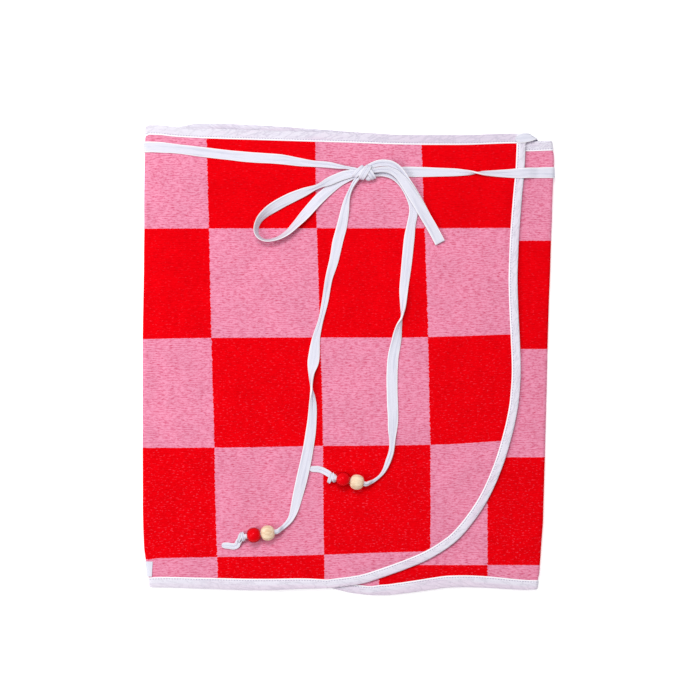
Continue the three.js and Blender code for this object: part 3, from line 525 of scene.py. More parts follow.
def terryMaterial():
    g = Graph("terry")
    flat = g.flat()
    square = cloth["square"]
    across, down = g.times(flat[0], square), g.times(flat[1], square)
    # the lines between the squares are ragged by a loop or two
    jagA = g.noise(g.stretched(across, 0.04, down, terryLook["jagEvery"]), 1, 1)
    jagB = g.noise(g.stretched(across, terryLook["jagEveryUp"], down, 0.04, 7.0), 1, 1)
    acrossJag = g.math("MULTIPLY_ADD", g.math("SUBTRACT", jagA, 0.5), terryLook["jagWide"], across)
    downJag = g.math("MULTIPLY_ADD", g.math("SUBTRACT", jagB, 0.5), terryLook["jagHigh"], down)
    cellA = g.math("FLOOR", g.math("DIVIDE", acrossJag, square))
    cellB = g.math("FLOOR", g.math("ADD", g.math("DIVIDE", downJag, square), 10))
    isPink = g.math("GREATER_THAN", g.math("MODULO", g.math("ADD", cellA, cellB), 2), 0.5)
    # the pile stands in short rows across the cloth; where its relief is low, between the loops, the colour is
    # darker: painted shade
    pile = g.noise(g.stretched(across, 0.16, down, 0.85, 1.0), 1.0, 2, 0.5)
    grain = g.noise(g.vector(across, g.times(down, 1.6), 5.0), 0.45, 2, 0.6)
    wander = g.noise(g.vector(across, down, 2.0), 0.06, 2, 0.5)
    ribs = g.math("SINE", g.math("MULTIPLY_ADD", wander, 5.0, g.times(down, 3.3)))
    relief = g.math("ADD", g.times(pile, 0.6), g.times(grain, 0.4))
    relief = g.math("MULTIPLY_ADD", ribs, 0.035, relief)
    dashes = g.step(g.noise(g.stretched(across, 0.2, down, 0.95, 3.0), 1, 2, 0.6), 0.56, 0.68)
    specks = g.step(g.noise(g.stretched(across, 0.3, down, 0.8, 9.0), 1, 2, 0.6), 0.58, 0.72)
    pink = g.mix(g.step(relief, 0.36, 0.58), terryLook["pinkHollowShade"], terryLook["pink"])
    pink = g.mix(g.times(dashes, 0.7), pink, terryLook["dash"])
    # the red is darker where the relief is low too: painted shade between the loops
    red = g.mix(g.step(relief, 0.34, 0.56), terryLook["redHollowShade"], terryLook["red"])
    lowerPart = g.step(g.split(g.place())[1], -0.2, 0.15, 0.62, 0.16)
    red = g.mix(g.times(specks, lowerPart), red, terryLook["redLight"])
    broad = g.noise(g.vector(across, down), 0.035, 3, 0.5)
    color = g.given("ShaderNodeHueSaturation",
                    {"Value": g.step(broad, 0.3, 0.7, 0.965, 1.035), "Color": g.mix(isPink, red, pink)})
    g.bump(relief, 0.45, 0.001)
    g.bump(broad, 0.35, 0.004)
    return g.finish(color, 1.0, 0.0)


# The thread is painted a grey lilac, darker than the binding around it: painted shade of the stitch holes and
# groove; the thread itself is white.
shadedThreadLook = {"light": (0.47, 0.44, 0.55), "deep": (0.38, 0.35, 0.46)}


def threadMaterial():
    g = Graph("thread")
    place = g.place()
    weave = g.noise(place, 1800, 2, 0.6)
    shade = g.mix(g.step(weave, 0.35, 0.65), shadedThreadLook["deep"], shadedThreadLook["light"])
    g.bump(weave, 0.4, 0.0003)
    g.bump(g.noise(place, 130, 3, 0.5), 0.35, 0.0012)
    return g.finish(g.mix(0.45, shade, shadedThreadLook["light"]), 0.9, 0.04)


# The streak colour is painted shade in the tape's creases; the edge colour is a painted highlight on its
# folded edges.
tieLook = {"white": (0.69, 0.685, 0.775), "edge": (0.84, 0.83, 0.87), "streakShade": (0.50, 0.51, 0.62)}


def tieMaterial():
    g = Graph("tie")
    run, side, _ = g.flat()
    # lengthwise grey-blue streaks: painted shade of the tape's creases, which also bump it
    shadedStreaks = g.noise(g.stretched(run, 0.022, side, 1.6, 3.0), 1, 3, 0.6)
    body = g.mix(g.step(shadedStreaks, 0.48, 0.66, 0.0, 0.55), tieLook["white"], tieLook["streakShade"])
    # the folded edges are lighter: a painted highlight
    body = g.mix(g.step(g.math("ABSOLUTE", side), 0.78, 0.9), body, tieLook["edge"])
    weave = g.noise(g.place(), 1100, 2, 0.6)
    g.bump(weave, 0.4, 0.0003)
    g.bump(shadedStreaks, 0.6, 0.0012)
    return g.finish(g.mix(g.step(weave, 0.35, 0.65, 0.18, 0.0), body, tieLook["streakShade"]), 0.9, 0.04)


# The crease colour is painted shade in the folds and puckers; the rim colour is a painted highlight on the
# binding's inner lip.
bindingLook = {
    "white": (0.735, 0.71, 0.79), "crease": (0.54, 0.49, 0.61), "warm": (0.72, 0.61, 0.72),
    "rim": (0.93, 0.91, 0.95), "shaded": (0.652, 0.57, 0.68), "waistRuns": 3000,
}


def bindingMaterial():
    g = Graph("binding")
    run, deep, _ = g.flat()
    place = g.place()
    x, y, _ = g.split(place)
    lean = g.math("MULTIPLY_ADD", deep, 1.5, run)
    folds = g.noise(g.stretched(lean, 0.085, deep, 0.11), 1.0, 3, 0.55)
    folds = g.math("ABSOLUTE", g.math("SUBTRACT", folds, 0.5))
    # thin crease lines, sunk by a bump and painted darker: painted shade in the folds
    creases = g.times(g.step(folds, 0.0, 0.04, 1.0, 0.0), g.step(deep, 2.0, 4.0))
    patches = g.noise(g.stretched(run, 0.022, deep, 0.1, 4.0), 1, 3, 0.6)
    outerHem = g.times(g.step(y, -0.225, -0.2, 0.9, 0.0), g.step(deep, 5.0, 8.0))
    warmth = g.math("MAXIMUM", g.step(patches, 0.46, 0.68, 0.0, 0.85), outerHem)
    warmth = g.times(warmth, g.step(x, -0.2, -0.02, 0.45, 1.0))
    color = g.mix(warmth, bindingLook["white"], bindingLook["warm"])
    waistOnly = g.times(g.step(y, 0.215, 0.222), g.step(x, 0.168, 0.176, 1.0, 0.0))
    color = g.mix(g.times(waistOnly, g.step(x, -0.06, 0.1, 0.0, 0.9)), color, bindingLook["shaded"])
    # creases are weaker on the edge binding, and where the photo is lightest, on the left
    waistRuns = bindingLook["waistRuns"]
    creaseShadeShare = g.times(creases, g.step(run, waistRuns, waistRuns + 1, 0.6, 0.22))
    creaseShadeShare = g.times(creaseShadeShare, g.step(x, -0.2, -0.08, 0.3, 1.0))
    color = g.mix(creaseShadeShare, color, bindingLook["crease"])
    # lengthwise streaks in the crease colour: painted shade
    shadedStreaks = g.noise(g.stretched(run, 0.035, deep, 0.55, 8.0), 1, 2, 0.5)
    color = g.mix(g.step(shadedStreaks, 0.5, 0.7, 0.0, 0.35), color, bindingLook["crease"])
    # a lighter strip along the inner edge: a painted highlight on the lip between the stitches and that edge
    color = g.mix(g.step(deep, 1.2, 1.6, 0.9, 0.0), color, bindingLook["rim"])
    weave = g.noise(place, 900, 2, 0.6)
    g.bump(weave, 0.4, 0.0003)
    g.bump(g.times(creases, -1.0), 0.5, 0.0006)
    return g.finish(g.mix(g.step(weave, 0.35, 0.65, 0.22, 0.0), color, bindingLook["crease"]), 0.92, 0.03)


woodLook = {
    "light": (0.86, 0.69, 0.50), "grain": (0.60, 0.40, 0.24), "red": (0.7, 0.0001, 0.004),
    "redRimShade": (0.24, 0.0, 0.001), "gleam": (1.0, 0.16, 0.26),
}


def plainWood():
    g = Graph("plain wood")
    scaled = g.add("ShaderNodeMapping")
    scaled.inputs["Scale"].default_value = (60, 420, 420)
    scaled.inputs["Rotation"].default_value = (0, 0, 0.15)
    g.link(g.place(), scaled.inputs["Vector"])
    grain = g.noise(scaled.outputs[0], 1, 4, 0.6)
    g.bump(grain, 0.12, 0.0004)
    lines = g.step(grain, 0.42, 0.66, 0.0, 0.75)
    return g.finish(g.mix(lines, woodLook["light"], woodLook["grain"]), 0.5, 0.2)


def redWood():
    g = Graph("red wood")
    # the red darkens towards the bead's outline as the camera sees it: painted shade
    rim = g.given("ShaderNodeLayerWeight", {"Blend": 0.5}, "Facing")
    g.link(woodLook["gleam"], g.shader.inputs["Specular Tint"])
    return g.finish(g.mix(g.step(rim, 0.25, 0.85, 0.0, 0.8), woodLook["red"], woodLook["redRimShade"]), 0.22, 0.25)


materials = {
    "terry": terryMaterial(), "binding": bindingMaterial(), "tie": tieMaterial(), "thread": threadMaterial(),
    "plain": plainWood(), "red": redWood(),
}


def finishPiece(made, node, material):
    made.data.materials.append(materials[material])
    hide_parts(node)
    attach(made, "root")
    return made


waves = ((0.16, 26, 3), (0.07, 7, 11))  # height, size and seed of the cloth's soft relief


def buildCloth():
    g = grid
    count, rows = g["x"].shape
    relief = np.zeros(g["x"].shape)
    for i, j in np.ndindex(relief.shape):
        x, y, z = g["x"][i, j], g["y"][i, j], g["z"][i, j]
        relief[i, j] = sum(high * soft(x / size + seed, y / size - seed, z * 3 / size)
                           for high, size, seed in waves)
    relief *= ease((g["deep"] - covered) / zones["reliefRun"])
    high = g["half"] + relief
    outer = np.stack([g["x"] + g["nx"] * high, g["y"], g["z"] + g["nz"] * high], -1)
    inner = np.stack([g["x"] - g["nx"] * g["half"], g["y"], g["z"] - g["nz"] * g["half"]], -1)
    points = np.concatenate([outer.reshape(-1, 3), inner.reshape(-1, 3)])
    points[:, 2] = np.maximum(points[:, 2], 0.0)
    at = np.arange(count * rows).reshape(count, rows)
    a, b, c, d = at[:-1, :-1], at[:-1, 1:], at[1:, 1:], at[1:, :-1]
    outerFaces = np.stack([a, b, c, d], -1).reshape(-1, 4)
    innerFaces = np.stack([a, d, c, b], -1).reshape(-1, 4) + count * rows
    faces = np.concatenate([outerFaces, innerFaces]).tolist()
    n = count * rows
    # the rim between the outer and the inner skin
    for edge, flip in ((at[:, 0], False), (at[:, -1], True), (at[0], True), (at[-1], False)):
        for p, q in zip(edge[:-1], edge[1:]):
            faces.append([q, p, p + n, q + n] if flip else [p, q, q + n, p + n])
    uv = np.stack([g["u"], g["v"]], -1).reshape(-1, 2)
    made = meshObject("wrapCloth", points, faces, np.concatenate([uv, uv]))
    return finishPiece(made, "wrap_cloth", "terry")


wrapCloth = buildCloth()
print("cloth", len(wrapCloth.data.polygons), flush=True)


# A binding's outline: (depth from its outer edge, height from the cloth's middle), the top, bottom, inside.
def channel(wide):
    half, thick, inner = binding["half"], binding["thick"], cloth["pressedHalf"] + gap
    seam, sunk = wide - binding["seam"], half - 0.4
    top = [(wide, half - 0.28), (wide - 0.4, half - 0.02), (seam + 0.6, half), (seam + 0.1, sunk),
           (seam - 0.1, sunk), (seam - 0.6, half), (wide * 0.6, half), (wide * 0.42, half),
           (wide * 0.25, half), (0.9, half), (0.3, sunk), (0.05, half - 0.95), (0, 0)]
    bottom = [(deep, -high) for deep, high in top[-2::-1]]
    return top + bottom + [(wide, -inner), (thick, -inner), (thick, inner), (wide, inner)]


def pucker(stop, deep, kind, above):
    run, share = stop["run"], deep / stop["wide"]
    layer = kind if above else kind + 3
    slow = soft(run / 16.0 + share * 0.9, share * 1.2, layer)
    quick = soft(run / 5.5 + share * 1.6, share * 1.1, layer + 5)
    crease = abs(soft(run / 9.0 - share * 1.8, share * 0.5, layer + 9))
    body = 0.34 * slow + 0.16 * quick - 0.5 * max(0.0, 0.16 - crease) / 0.16
    return body * (1 - 0.6 * abs(share - 0.45))


def bindingPoint(stop, deep, high, lowest):
    kind, turn = stop["column"]
    reach = deep - edgeRoom
    y = stop["y"] + stop["inward"][1] * reach
    if kind in foldSides:
        x, z, nx, up, _ = foldPoint(kind, turn, y)
        return float(x + nx * high), y, max(lowest, float(z + up * high))
    x = stop["x"] + stop["inward"][0] * reach + stop["along"]
    return x, y, max(lowest, float(panelZ[kind](x, y)) + stop["nz"] * high)


def bindingSection(stop, outline, kind):
    out = []
    for k, (deep, high) in enumerate(outline):
        if k < len(outline) - 4 and abs(high) > binding["puckersFrom"]:
            high += math.copysign(1, high) * pucker(stop, deep, kind, high > 0)
        out.append(bindingPoint(stop, deep, high, binding["lowest"]))
    return out


# Near a fold the binding leans as the fold does.
def slopeNear(x, y, up):
    lean = 0.0
    for side, at in (("left", -210.3), ("right", 204)):
        near = max(0.0, 1 - abs(x - at) / binding["leanReach"])
        if near:
            lean += near * float(foldStart(side, y + up * 9) - foldStart(side, y)) / 9
    return lean


def stopAt(i, j, inward, wide, along=0.0):
    return {"x": float(grid["x"][i, j]), "y": float(grid["y"][i, j]), "column": grid["columns"][i],
            "nz": float(grid["nz"][i, j]), "inward": inward, "along": along, "wide": wide}


def measureRun(stops):
    run, before = 0.0, None
    for stop in stops:
        if before:
            run += max(math.hypot(stop["x"] - before["x"], stop["y"] - before["y"]), 0.6)
        stop["run"], before = run, stop
    return stops


def waistStops():
    stops = []
    ends = {0: (edgeRoom, 0.0), len(grid["columns"]) - 1: (0.0, -edgeRoom)}
    for i, (kind, _) in enumerate(grid["columns"]):
        x, y = float(grid["x"][i, -1]), float(grid["y"][i, -1])
        lean = 0 if kind in foldSides else slopeNear(x, y, -1)
        stops += [stopAt(i, -1, (lean, -1), binding["waistWide"], along) for along in ends.get(i, (0.0,))]
    return measureRun(stops)


# Down the free edge, along the hem and up the hidden edge.
def edgeStops():
    rows, last = len(rowShare) - binding["skipRows"], len(grid["columns"]) - 1
    path = [(0, j, False) for j in range(rows, 0, -1)]
    path += [(i, 0, True) for i in range(last + 1)]
    path += [(last, j, False) for j in range(1, rows + 1)]
    stops = []
    for k, (i, j, hem) in enumerate(path):
        kind = grid["columns"][i][0]
        x, y = float(grid["x"][i, j]), float(grid["y"][i, j])
        inward = (0.0, 1.0)
        if kind not in foldSides:
            a, b = path[max(0, k - 2)], path[min(len(path) - 1, k + 2)]
            dx = float(grid["x"][b[0], b[1]] - grid["x"][a[0], a[1]])
            dy = float(grid["y"][b[0], b[1]] - grid["y"][a[0], a[1]])
            size = math.hypot(dx, dy)
            side = 1 if grid["nz"][i, j] > 0 else -1
            inward = (dy / size * side, -dx / size * side)
            flat = max(0.0, 1 - min(abs(x + 206), abs(x - 190)) / binding["leanReach"])
            if hem and flat > 0:
                inward = (mix(inward[0], slopeNear(x, y, 1), flat), inward[1])
        panel = kind if kind in ("front", "under") else "back"
        beside = (panel == "front" and x > -24) or (panel == "under" and x < 22)
        wide = float(hemWideAt[panel](x)) if hem and not beside else binding["edgeWide"]
        stops.append(stopAt(i, j, inward, wide))
    return measureRun(stops)


def buildBinding(name, node, stops, kind):
    outlines = [channel(stop["wide"]) for stop in stops]
    points = [p for stop, outline in zip(stops, outlines) for p in bindingSection(stop, outline, kind)]
    uv = [(stop["run"] + kind * 300, stop["wide"] - deep)
          for stop, outline in zip(stops, outlines) for deep, _ in outline]
    made = meshObject(name, points, sweepFaces(len(stops), len(outlines[0])), uv)
    return finishPiece(made, node, "binding")


waistPath = waistStops()
edgePath = edgeStops()
waistBinding = buildBinding("waistBinding", "waist_binding", waistPath, binding["waistKind"])
edgeBinding = buildBinding("edgeBinding", "edge_binding", edgePath, binding["edgeKind"])
print("bindings", flush=True)

# One thread bar on each step of a line; floor is the lowest place for its middle.
stitch = {"pitch": 2.8, "long": 1.7, "thin": 0.85, "seed": 4, "floor": 0.5, "sunk": 0.26, "vary": (0.88, 1.1)}


def stitchRow(stops, kind, side):
    out = []
    for stop in stops:
        deep = stop["wide"] - binding["seam"]
        high = side * (binding["half"] - stitch["sunk"] + pucker(stop, deep, kind, side > 0))
        out.append(bindingPoint(stop, deep, high, stitch["floor"]))
    return out


# A node tree that turns each line into a row of thread bars.
def stitchTree():
    tree = bpy.data.node_groups.new("stitchRow", "GeometryNodeTree")
    sockets = {"Geometry": "Geometry", "Pitch": "Float", "Stitch length": "Float", "Thread width": "Float",
               "Thread": "Material"}
    for label, kind in sockets.items():
        tree.interface.new_socket(label, in_out="INPUT", socket_type="NodeSocket" + kind)
    tree.interface.new_socket("Geometry", in_out="OUTPUT", socket_type="NodeSocketGeometry")
    kinds = {
        "given": "NodeGroupInput", "out": "NodeGroupOutput", "vary": "FunctionNodeRandomValue",
        "size": "ShaderNodeCombineXYZ", "halfLong": "ShaderNodeMath", "halfThin": "ShaderNodeMath",
    }
    shapes = {
        "curve": "MeshToCurve", "dots": "CurveToPoints", "ball": "MeshUVSphere", "bar": "Transform",
        "place": "InstanceOnPoints", "real": "RealizeInstances", "paint": "SetMaterial",
    }
    kinds.update({name: "GeometryNode" + kind for name, kind in shapes.items()})
    node = {name: tree.nodes.new(kind) for name, kind in kinds.items()}
    node["dots"].mode = "LENGTH"
    node["vary"].data_type = "FLOAT"
    node["halfLong"].operation = node["halfThin"].operation = "MULTIPLY"
    low, high = stitch["vary"]
    values = [("ball", "Segments", 6), ("ball", "Rings", 4), ("ball", "Radius", 1.0), ("vary", 2, low),
              ("vary", 3, high), ("vary", "Seed", stitch["seed"]), ("halfLong", 1, 0.5), ("halfThin", 1, 0.5)]
    for name, key, value in values:
        node[name].inputs[key].default_value = value
    # from a node's output to a node's input
    links = [
        ("given", "Geometry", "curve", 0), ("curve", 0, "dots", "Curve"), ("given", "Pitch", "dots", "Length"),
        ("given", "Stitch length", "halfLong", 0), ("given", "Thread width", "halfThin", 0),
        ("halfThin", 0, "size", 0), ("halfThin", 0, "size", 1), ("halfLong", 0, "size", 2),
        ("ball", 0, "bar", "Geometry"), ("size", 0, "bar", "Scale"), ("dots", "Points", "place", "Points"),
        ("bar", 0, "place", "Instance"), ("dots", "Rotation", "place", "Rotation"),
        ("vary", 1, "place", "Scale"), ("place", 0, "real", 0), ("real", 0, "paint", "Geometry"),
        ("given", "Thread", "paint", "Material"), ("paint", 0, "out", 0),
    ]
    for source, key, target, into in links:
        tree.links.new(node[source].outputs[key], node[target].inputs[into])
    return tree


def buildStitches(name, lines):
    points, edges = [], []
    for line in lines:
        first = len(points)
        points += line
        edges += [(first + k, first + k + 1) for k in range(len(line) - 1)]
    mesh = bpy.data.meshes.new(name + "Path")
    mesh.from_pydata(placedPoints(points), edges, [])
    made = linked(name, mesh)
    tree = stitchTree()
    modifier = made.modifiers.new("stitches", "NODES")
    modifier.node_group = tree
    ids = {s.name: s.identifier for s in tree.interface.items_tree if s.in_out == "INPUT"}
    for label, key in (("Pitch", "pitch"), ("Stitch length", "long"), ("Thread width", "thin")):
        modifier[ids[label]] = stitch[key] * toFrame["metre"]
    modifier[ids["Thread"]] = materials["thread"]
    made.update_tag()
    bpy.context.view_layer.update()
    done = bpy.data.meshes.new_from_object(made.evaluated_get(bpy.context.evaluated_depsgraph_get()))
    made.modifiers.clear()
    made.data = done
    done.polygons.foreach_set("use_smooth", np.ones(len(done.polygons), dtype=bool))
    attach(made, "root")
    return made


stitches = buildStitches("stitches", [stitchRow(path, binding[kind], side) for path, kind in (
    (waistPath, "waistKind"), (edgePath, "edgeKind")) for side in (1, -1)])
print("stitches", len(stitches.data.polygons), flush=True)


leftStretch = {
    "x": [-206, -195.7, -175.1, -154.5, -123.6, -103, -72.1, -51.5, -36.1, -21.2, -11.6, -3, 8],
    "y": [218.4, 217.8, 215.8, 213.2, 209.6, 207.5, 205.5, 202.4, 200.6, 199.6, 197.6, 196.6, 193.5],
    "up": [0] * 8 + [0.3, 1, 1.8, 2.4, 3],
    "half": [5.6, 5.5, 4.8, 5.1, 5, 5.2, 5, 4.2, 3.3, 3.1, 2.4, 1.7, 2.4],
    "thick": [0.5] * 7 + [0.6, 0.7, 0.8, 1, 1.2, 1.2],
}
rightStretch = {
    "x": [185, 176, 164.8, 150, 138, 130, 122, 108, 95, 80, 64, 48, 30, 14],
    "y": [191.6, 191.2, 190.8, 190.8, 191, 191.3, 191.4, 191.9, 192, 192.2, 192.4, 192.6, 191.4, 190],
    "up": [0] * 4 + [0.1, 0.2, 0.1] + [0] * 5 + [0.8, 2.5],
    "half": [5.3, 5.2, 4.4, 3.4, 2.6, 2, 2.8, 3.9, 4.4, 4.9, 5.2, 4.8, 4, 3.2],
    "thick": [0.5, 0.5, 0.6, 0.7, 0.9, 1, 0.9, 0.6, 0.6, 0.5, 0.5, 0.5, 0.8, 1],
    "tilt": [0, 0, 0, 6, 34, 90, 146, 174] + [180] * 6,
}
leftLoop = {
    "x": [6, -6, -19, -33, -47, -62, -76, -88, -95, -97, -93, -86, -77, -66, -56, -45, -34, -22, -10, 4],
    "y": [191, 188.8, 183.6, 177.2, 171.5, 165, 157.5, 149, 140, 131, 124, 121.4, 123, 128.5, 138,
          150, 162.5, 173.5, 182, 188.5],
    "up": [4.6, 3.6, 2.8, 2.4, 1.6, 0.8, 0.6, 0.3] + [0.2] * 8 + [0, 0, 0.2, 2],
    "half": [3.2, 4.4, 4.4, 2.4, 4.4] + [5.4] * 12 + [5, 4, 3.2],
    "tilt": [0, 0, -6, -18, -15, -14, -20, -45, -62, -68, -74, -76, -72, -60, -45, -20, -8, -4, 0, 0],
}
rightLoopOver = {
    "x": [14, 24, 33, 41, 49, 56, 63, 70, 77.5, 85, 92.3],
    "y": [191, 193.2, 194.6, 193.8, 189, 181, 170.5, 159, 146.5, 134, 120.4],
    "up": [4.6, 5, 5.2, 5.2, 5, 4.6, 4.3, 4, 3.5, 3, 2.6],
    "half": [2.4, 2.6, 2.8, 3.2, 3.8, 4.6, 5.2, 5.3, 5.3, 5.3, 5.3],
    "tilt": [0, 6, 10, 12, 10, 6, 3, 0, 0, 0, 0],
}
rightLoopBack = {
    "x": [92.3, 84.5, 77.5, 71, 65, 59, 54.5, 48.5, 41, 31.5, 22, 14],
    "y": [120.4, 134.6, 147, 159.5, 170.5, 180.5, 188.5, 196, 200.6, 201.3, 198.6, 194],
    "up": [1, 1.1, 1.4, 1.8, 2.2, 2.6, 3, 3.4, 3.8, 4.4, 4.8, 4.8],
    "half": [5.3, 5.3, 5.3, 5.3, 5, 4.6, 4.2, 4, 3.8, 3.5, 3, 2.6],
    "tilt": [0, 0, 0, 0, -4, -14, -24, -28, -26, -18, -8, 0],
}
plainTail = {
    "x": [9, 4.5, 1.3, -1.5, -3.5, -5.2, -7, -9.6, -12.3, -16.4, -22.1, -25.4, -30, -35.3, -37.5, -39.9,
          -39.8, -38.6, -38.3, -39.1, -41.6, -45.3, -49.9, -54.9, -57.4, -59.9, -64, -68.5],
    "y": [187, 181.5, 175.5, 169, 163, 153, 143.5, 132, 122.6, 102, 81.4, 60.8, 40.2, 19.6, -1, -16.5, -29.9,
          -37.1, -47.4, -62.8, -83.4, -104, -124.6, -145.2, -155.5, -163, -168.8, -172.8],
    "up": [3.6, 3, 2.2, 1.6, 1, 0.4, 0.2] + [0] * 8 + [0.2, 0.3, 0.2, 0, 0, 0, 1.4, 1.6, 0, 0, 0, 0.4, 1.2],
    "half": [2.4, 2.3, 2, 2.4, 3.2, 4.4, 5, 5.3, 5.3, 4.8, 3.8, 3.4, 2.8, 4.3, 5.9, 3.4, 1.8,
             2.9, 4, 4.7, 5.3, 5.6, 5.7, 5, 4.3, 3.4, 2.8, 2.3],
    "tilt": [30, 30, 24, 16, 10, 4] + [0] * 8 + [4, 40, 90, 136, 166, 176] + [180] * 4 + [186, 196, 196, 186],
}
farTail = {
    "x": [18, 30, 42, 51, 58, 63, 65.5, 65.3, 63.4, 60.8, 58.7, 56.4, 55.2, 54.6, 53.4, 50.5, 47.9, 44, 43.2,
          43.6, 44.4, 43.7, 43.6, 43, 39.7, 35.6, 29.8, 24],
    "y": [190, 191.5, 189.5, 184, 175, 164.5, 155, 149, 141, 122.6, 102, 81.4, 71.1, 54, 43.3, 35, 19.6, -1,
          -21.6, -42.2, -62.8, -73.1, -83.4, -93.7, -104, -114.3, -121.6, -125.4],
    "up": [2.6, 1.6, 1.2, 1, 0.9, 0.8, 0.7, 0.5, 0.2, 0, 0, 0, 0, 0, 0.2] + [0] * 9 + [0.2, 0.6, 1.4, 2.4],
    "half": [3, 3.4, 3.8, 4.2, 4.4, 4.4, 4.4, 4.4, 4.4, 5.3, 5.3, 4.8, 4.4, 3.2, 1.8, 3.4, 5.1, 5.6, 5.7,
             5.7, 5.3, 4.6, 3.3, 2.8, 2.9, 2.1, 1.5, 1.7],
    "tilt": [0] * 11 + [2, 8, 36, 90, 142, 170] + [180] * 5 + [190, 200, 200, 196, 190, 180],
}
beadPlaces = [
    {"plain": (-84.4, -178.5), "red": (-98.7, -180.7), "knot": (-111.4, -182.6),
     "end": [(-107.4, -182.2), (-111.4, -184), (-114.6, -188), (-116.4, -191.6), (-120, -193),
             (-125.7, -192.2), (-132.2, -191.8)]},
    {"plain": (7.1, -126.3), "red": (-7, -123.4), "knot": (-18.6, -122),
     "end": [(-14.8, -120.8), (-18.6, -120.2), (-22, -118), (-25.6, -116), (-30, -114), (-35, -113.2),
             (-41.6, -113.2)]},
]
endShape = {"half": [2.6, 3, 3.2, 3.2, 3.2, 3.2, 2.7], "tilt": [50, 30, 14, 4, 0, 4, 6]}
knot = {"middle": (14.8, 191.6), "rise": 5.7, "endRise": 4.5}
bead = {"radius": 7.9, "halfLong": 7.0, "bore": 2.95, "sides": 40}


# The cloth's top where a tie lies on it, with the bindings under it.
def surfaceZ(x, y):
    past = part("pastEdge", x - freeX(y) - edgeRoom)
    return mix(frontZ(x, y), underZ(x, y), past) + binding["half"] - 0.1


def restZ(x, y):
    return frontZ(x, y) + cloth["half"] + gap


def smoothRows(table, step):
    at = np.concatenate([[0], np.cumsum(np.hypot(np.diff(table["x"]), np.diff(table["y"])))])
    p = np.linspace(0, at[-1], int(math.ceil(at[-1] / step)) + 1)
    return {key: curve(at, values)(p) for key, values in table.items()}


def softened(values, rounds):
    values = np.array(values, float)
    for _ in range(rounds):
        values[1:-1] = (values[:-2] + 2 * values[1:-1] + values[2:]) / 4
    return values


def onCloth(table, flip=False):
    t = smoothRows(table, tape["step"])
    x, y = softened(t["x"], 6), softened(t["y"], 6)
    aim = np.arctan2(np.gradient(y), np.gradient(x)) + math.pi / 2
    tilt = np.radians(t["tilt"]) if "tilt" in t else np.zeros(len(x))
    half = t["half"]
    narrow = np.where(half < 3, 1.2, np.where(half < 4, 0.8, tape["halfThick"]))
    thick = softened(t["thick"] if "thick" in t else narrow, 4)
    rise = half * np.abs(np.sin(tilt)) + (thick - tape["halfThick"])
    z = softened(surfaceZ(x, y) + resting + t["up"] + rise, 4)
    sign = -1 if flip else 1
    wide = np.stack([np.cos(aim) * np.cos(tilt), np.sin(aim) * np.cos(tilt), np.sin(tilt)], -1) * sign
    return [{"at": np.array(p), "wide": w, "half": h, "thick": k}
            for p, w, h, k in zip(zip(x, y, z), wide, half, thick)]


# The flattened loop: one strand out to the squared tip, folded over, and back under it.
def foldedLoop(over, back):
    tip, low = over[-1]["at"], back[0]["at"]
    along = tip - over[-4]["at"]
    along[2] = 0
    along /= np.linalg.norm(along)
    radius, middle = (tip[2] - low[2]) / 2, (tip[2] + low[2]) / 2
    turn = []
    for angle in np.linspace(0, math.pi, 9)[1:-1]:
        at = tip + along * radius * math.sin(angle)
        at[2] = middle + radius * math.cos(angle)
        turn.append({**over[-1], "at": at})
    return over + turn + back


# Sections from rows of x, y, z, direction across, half width and, where it isn't flat, half thickness.
def placed(rows):
    out = []
    for x, y, z, aim, half, *thick in rows:
        a = math.radians(aim)
        out.append({"at": np.array([x, y, z], float), "wide": np.array([math.cos(a), math.sin(a), 0]),
                    "half": half, "thick": thick[0] if thick else tape["halfThick"]})
    return out


# More sections between the given ones, on a curve through them.
def densify(stops, step):
    at = [0.0]
    for a, b in zip(stops[:-1], stops[1:]):
        at.append(at[-1] + max(1e-3, float(np.linalg.norm(b["at"] - a["at"]))))
    count = int(math.ceil(at[-1] / step)) + 1
    p = np.linspace(0, at[-1], count)
    place = [curve(at, [s["at"][k] for s in stops])(p) for k in range(3)]
    wide = np.stack([curve(at, [s["wide"][k] for s in stops])(p) for k in range(3)], -1)
    wide /= np.linalg.norm(wide, axis=1)[:, None]
    half, thick = curve(at, [s["half"] for s in stops])(p), curve(at, [s["thick"] for s in stops])(p)
    return [{"at": np.array(q), "wide": w, "half": h, "thick": k}
            for q, w, h, k in zip(zip(*place), wide, half, thick)]


# A tape's upper side, as shares of its half width and half thickness; its middle dips.
tapeProfile = [(-1, 0.35), (-0.93, 0.9), (-0.72, 1.0), (-0.38, 0.8), (-0.12, 0.86), (0.02, None),
               (0.16, 0.86), (0.42, 0.8), (0.72, 1.0), (0.93, 0.9), (1, 0.35)]


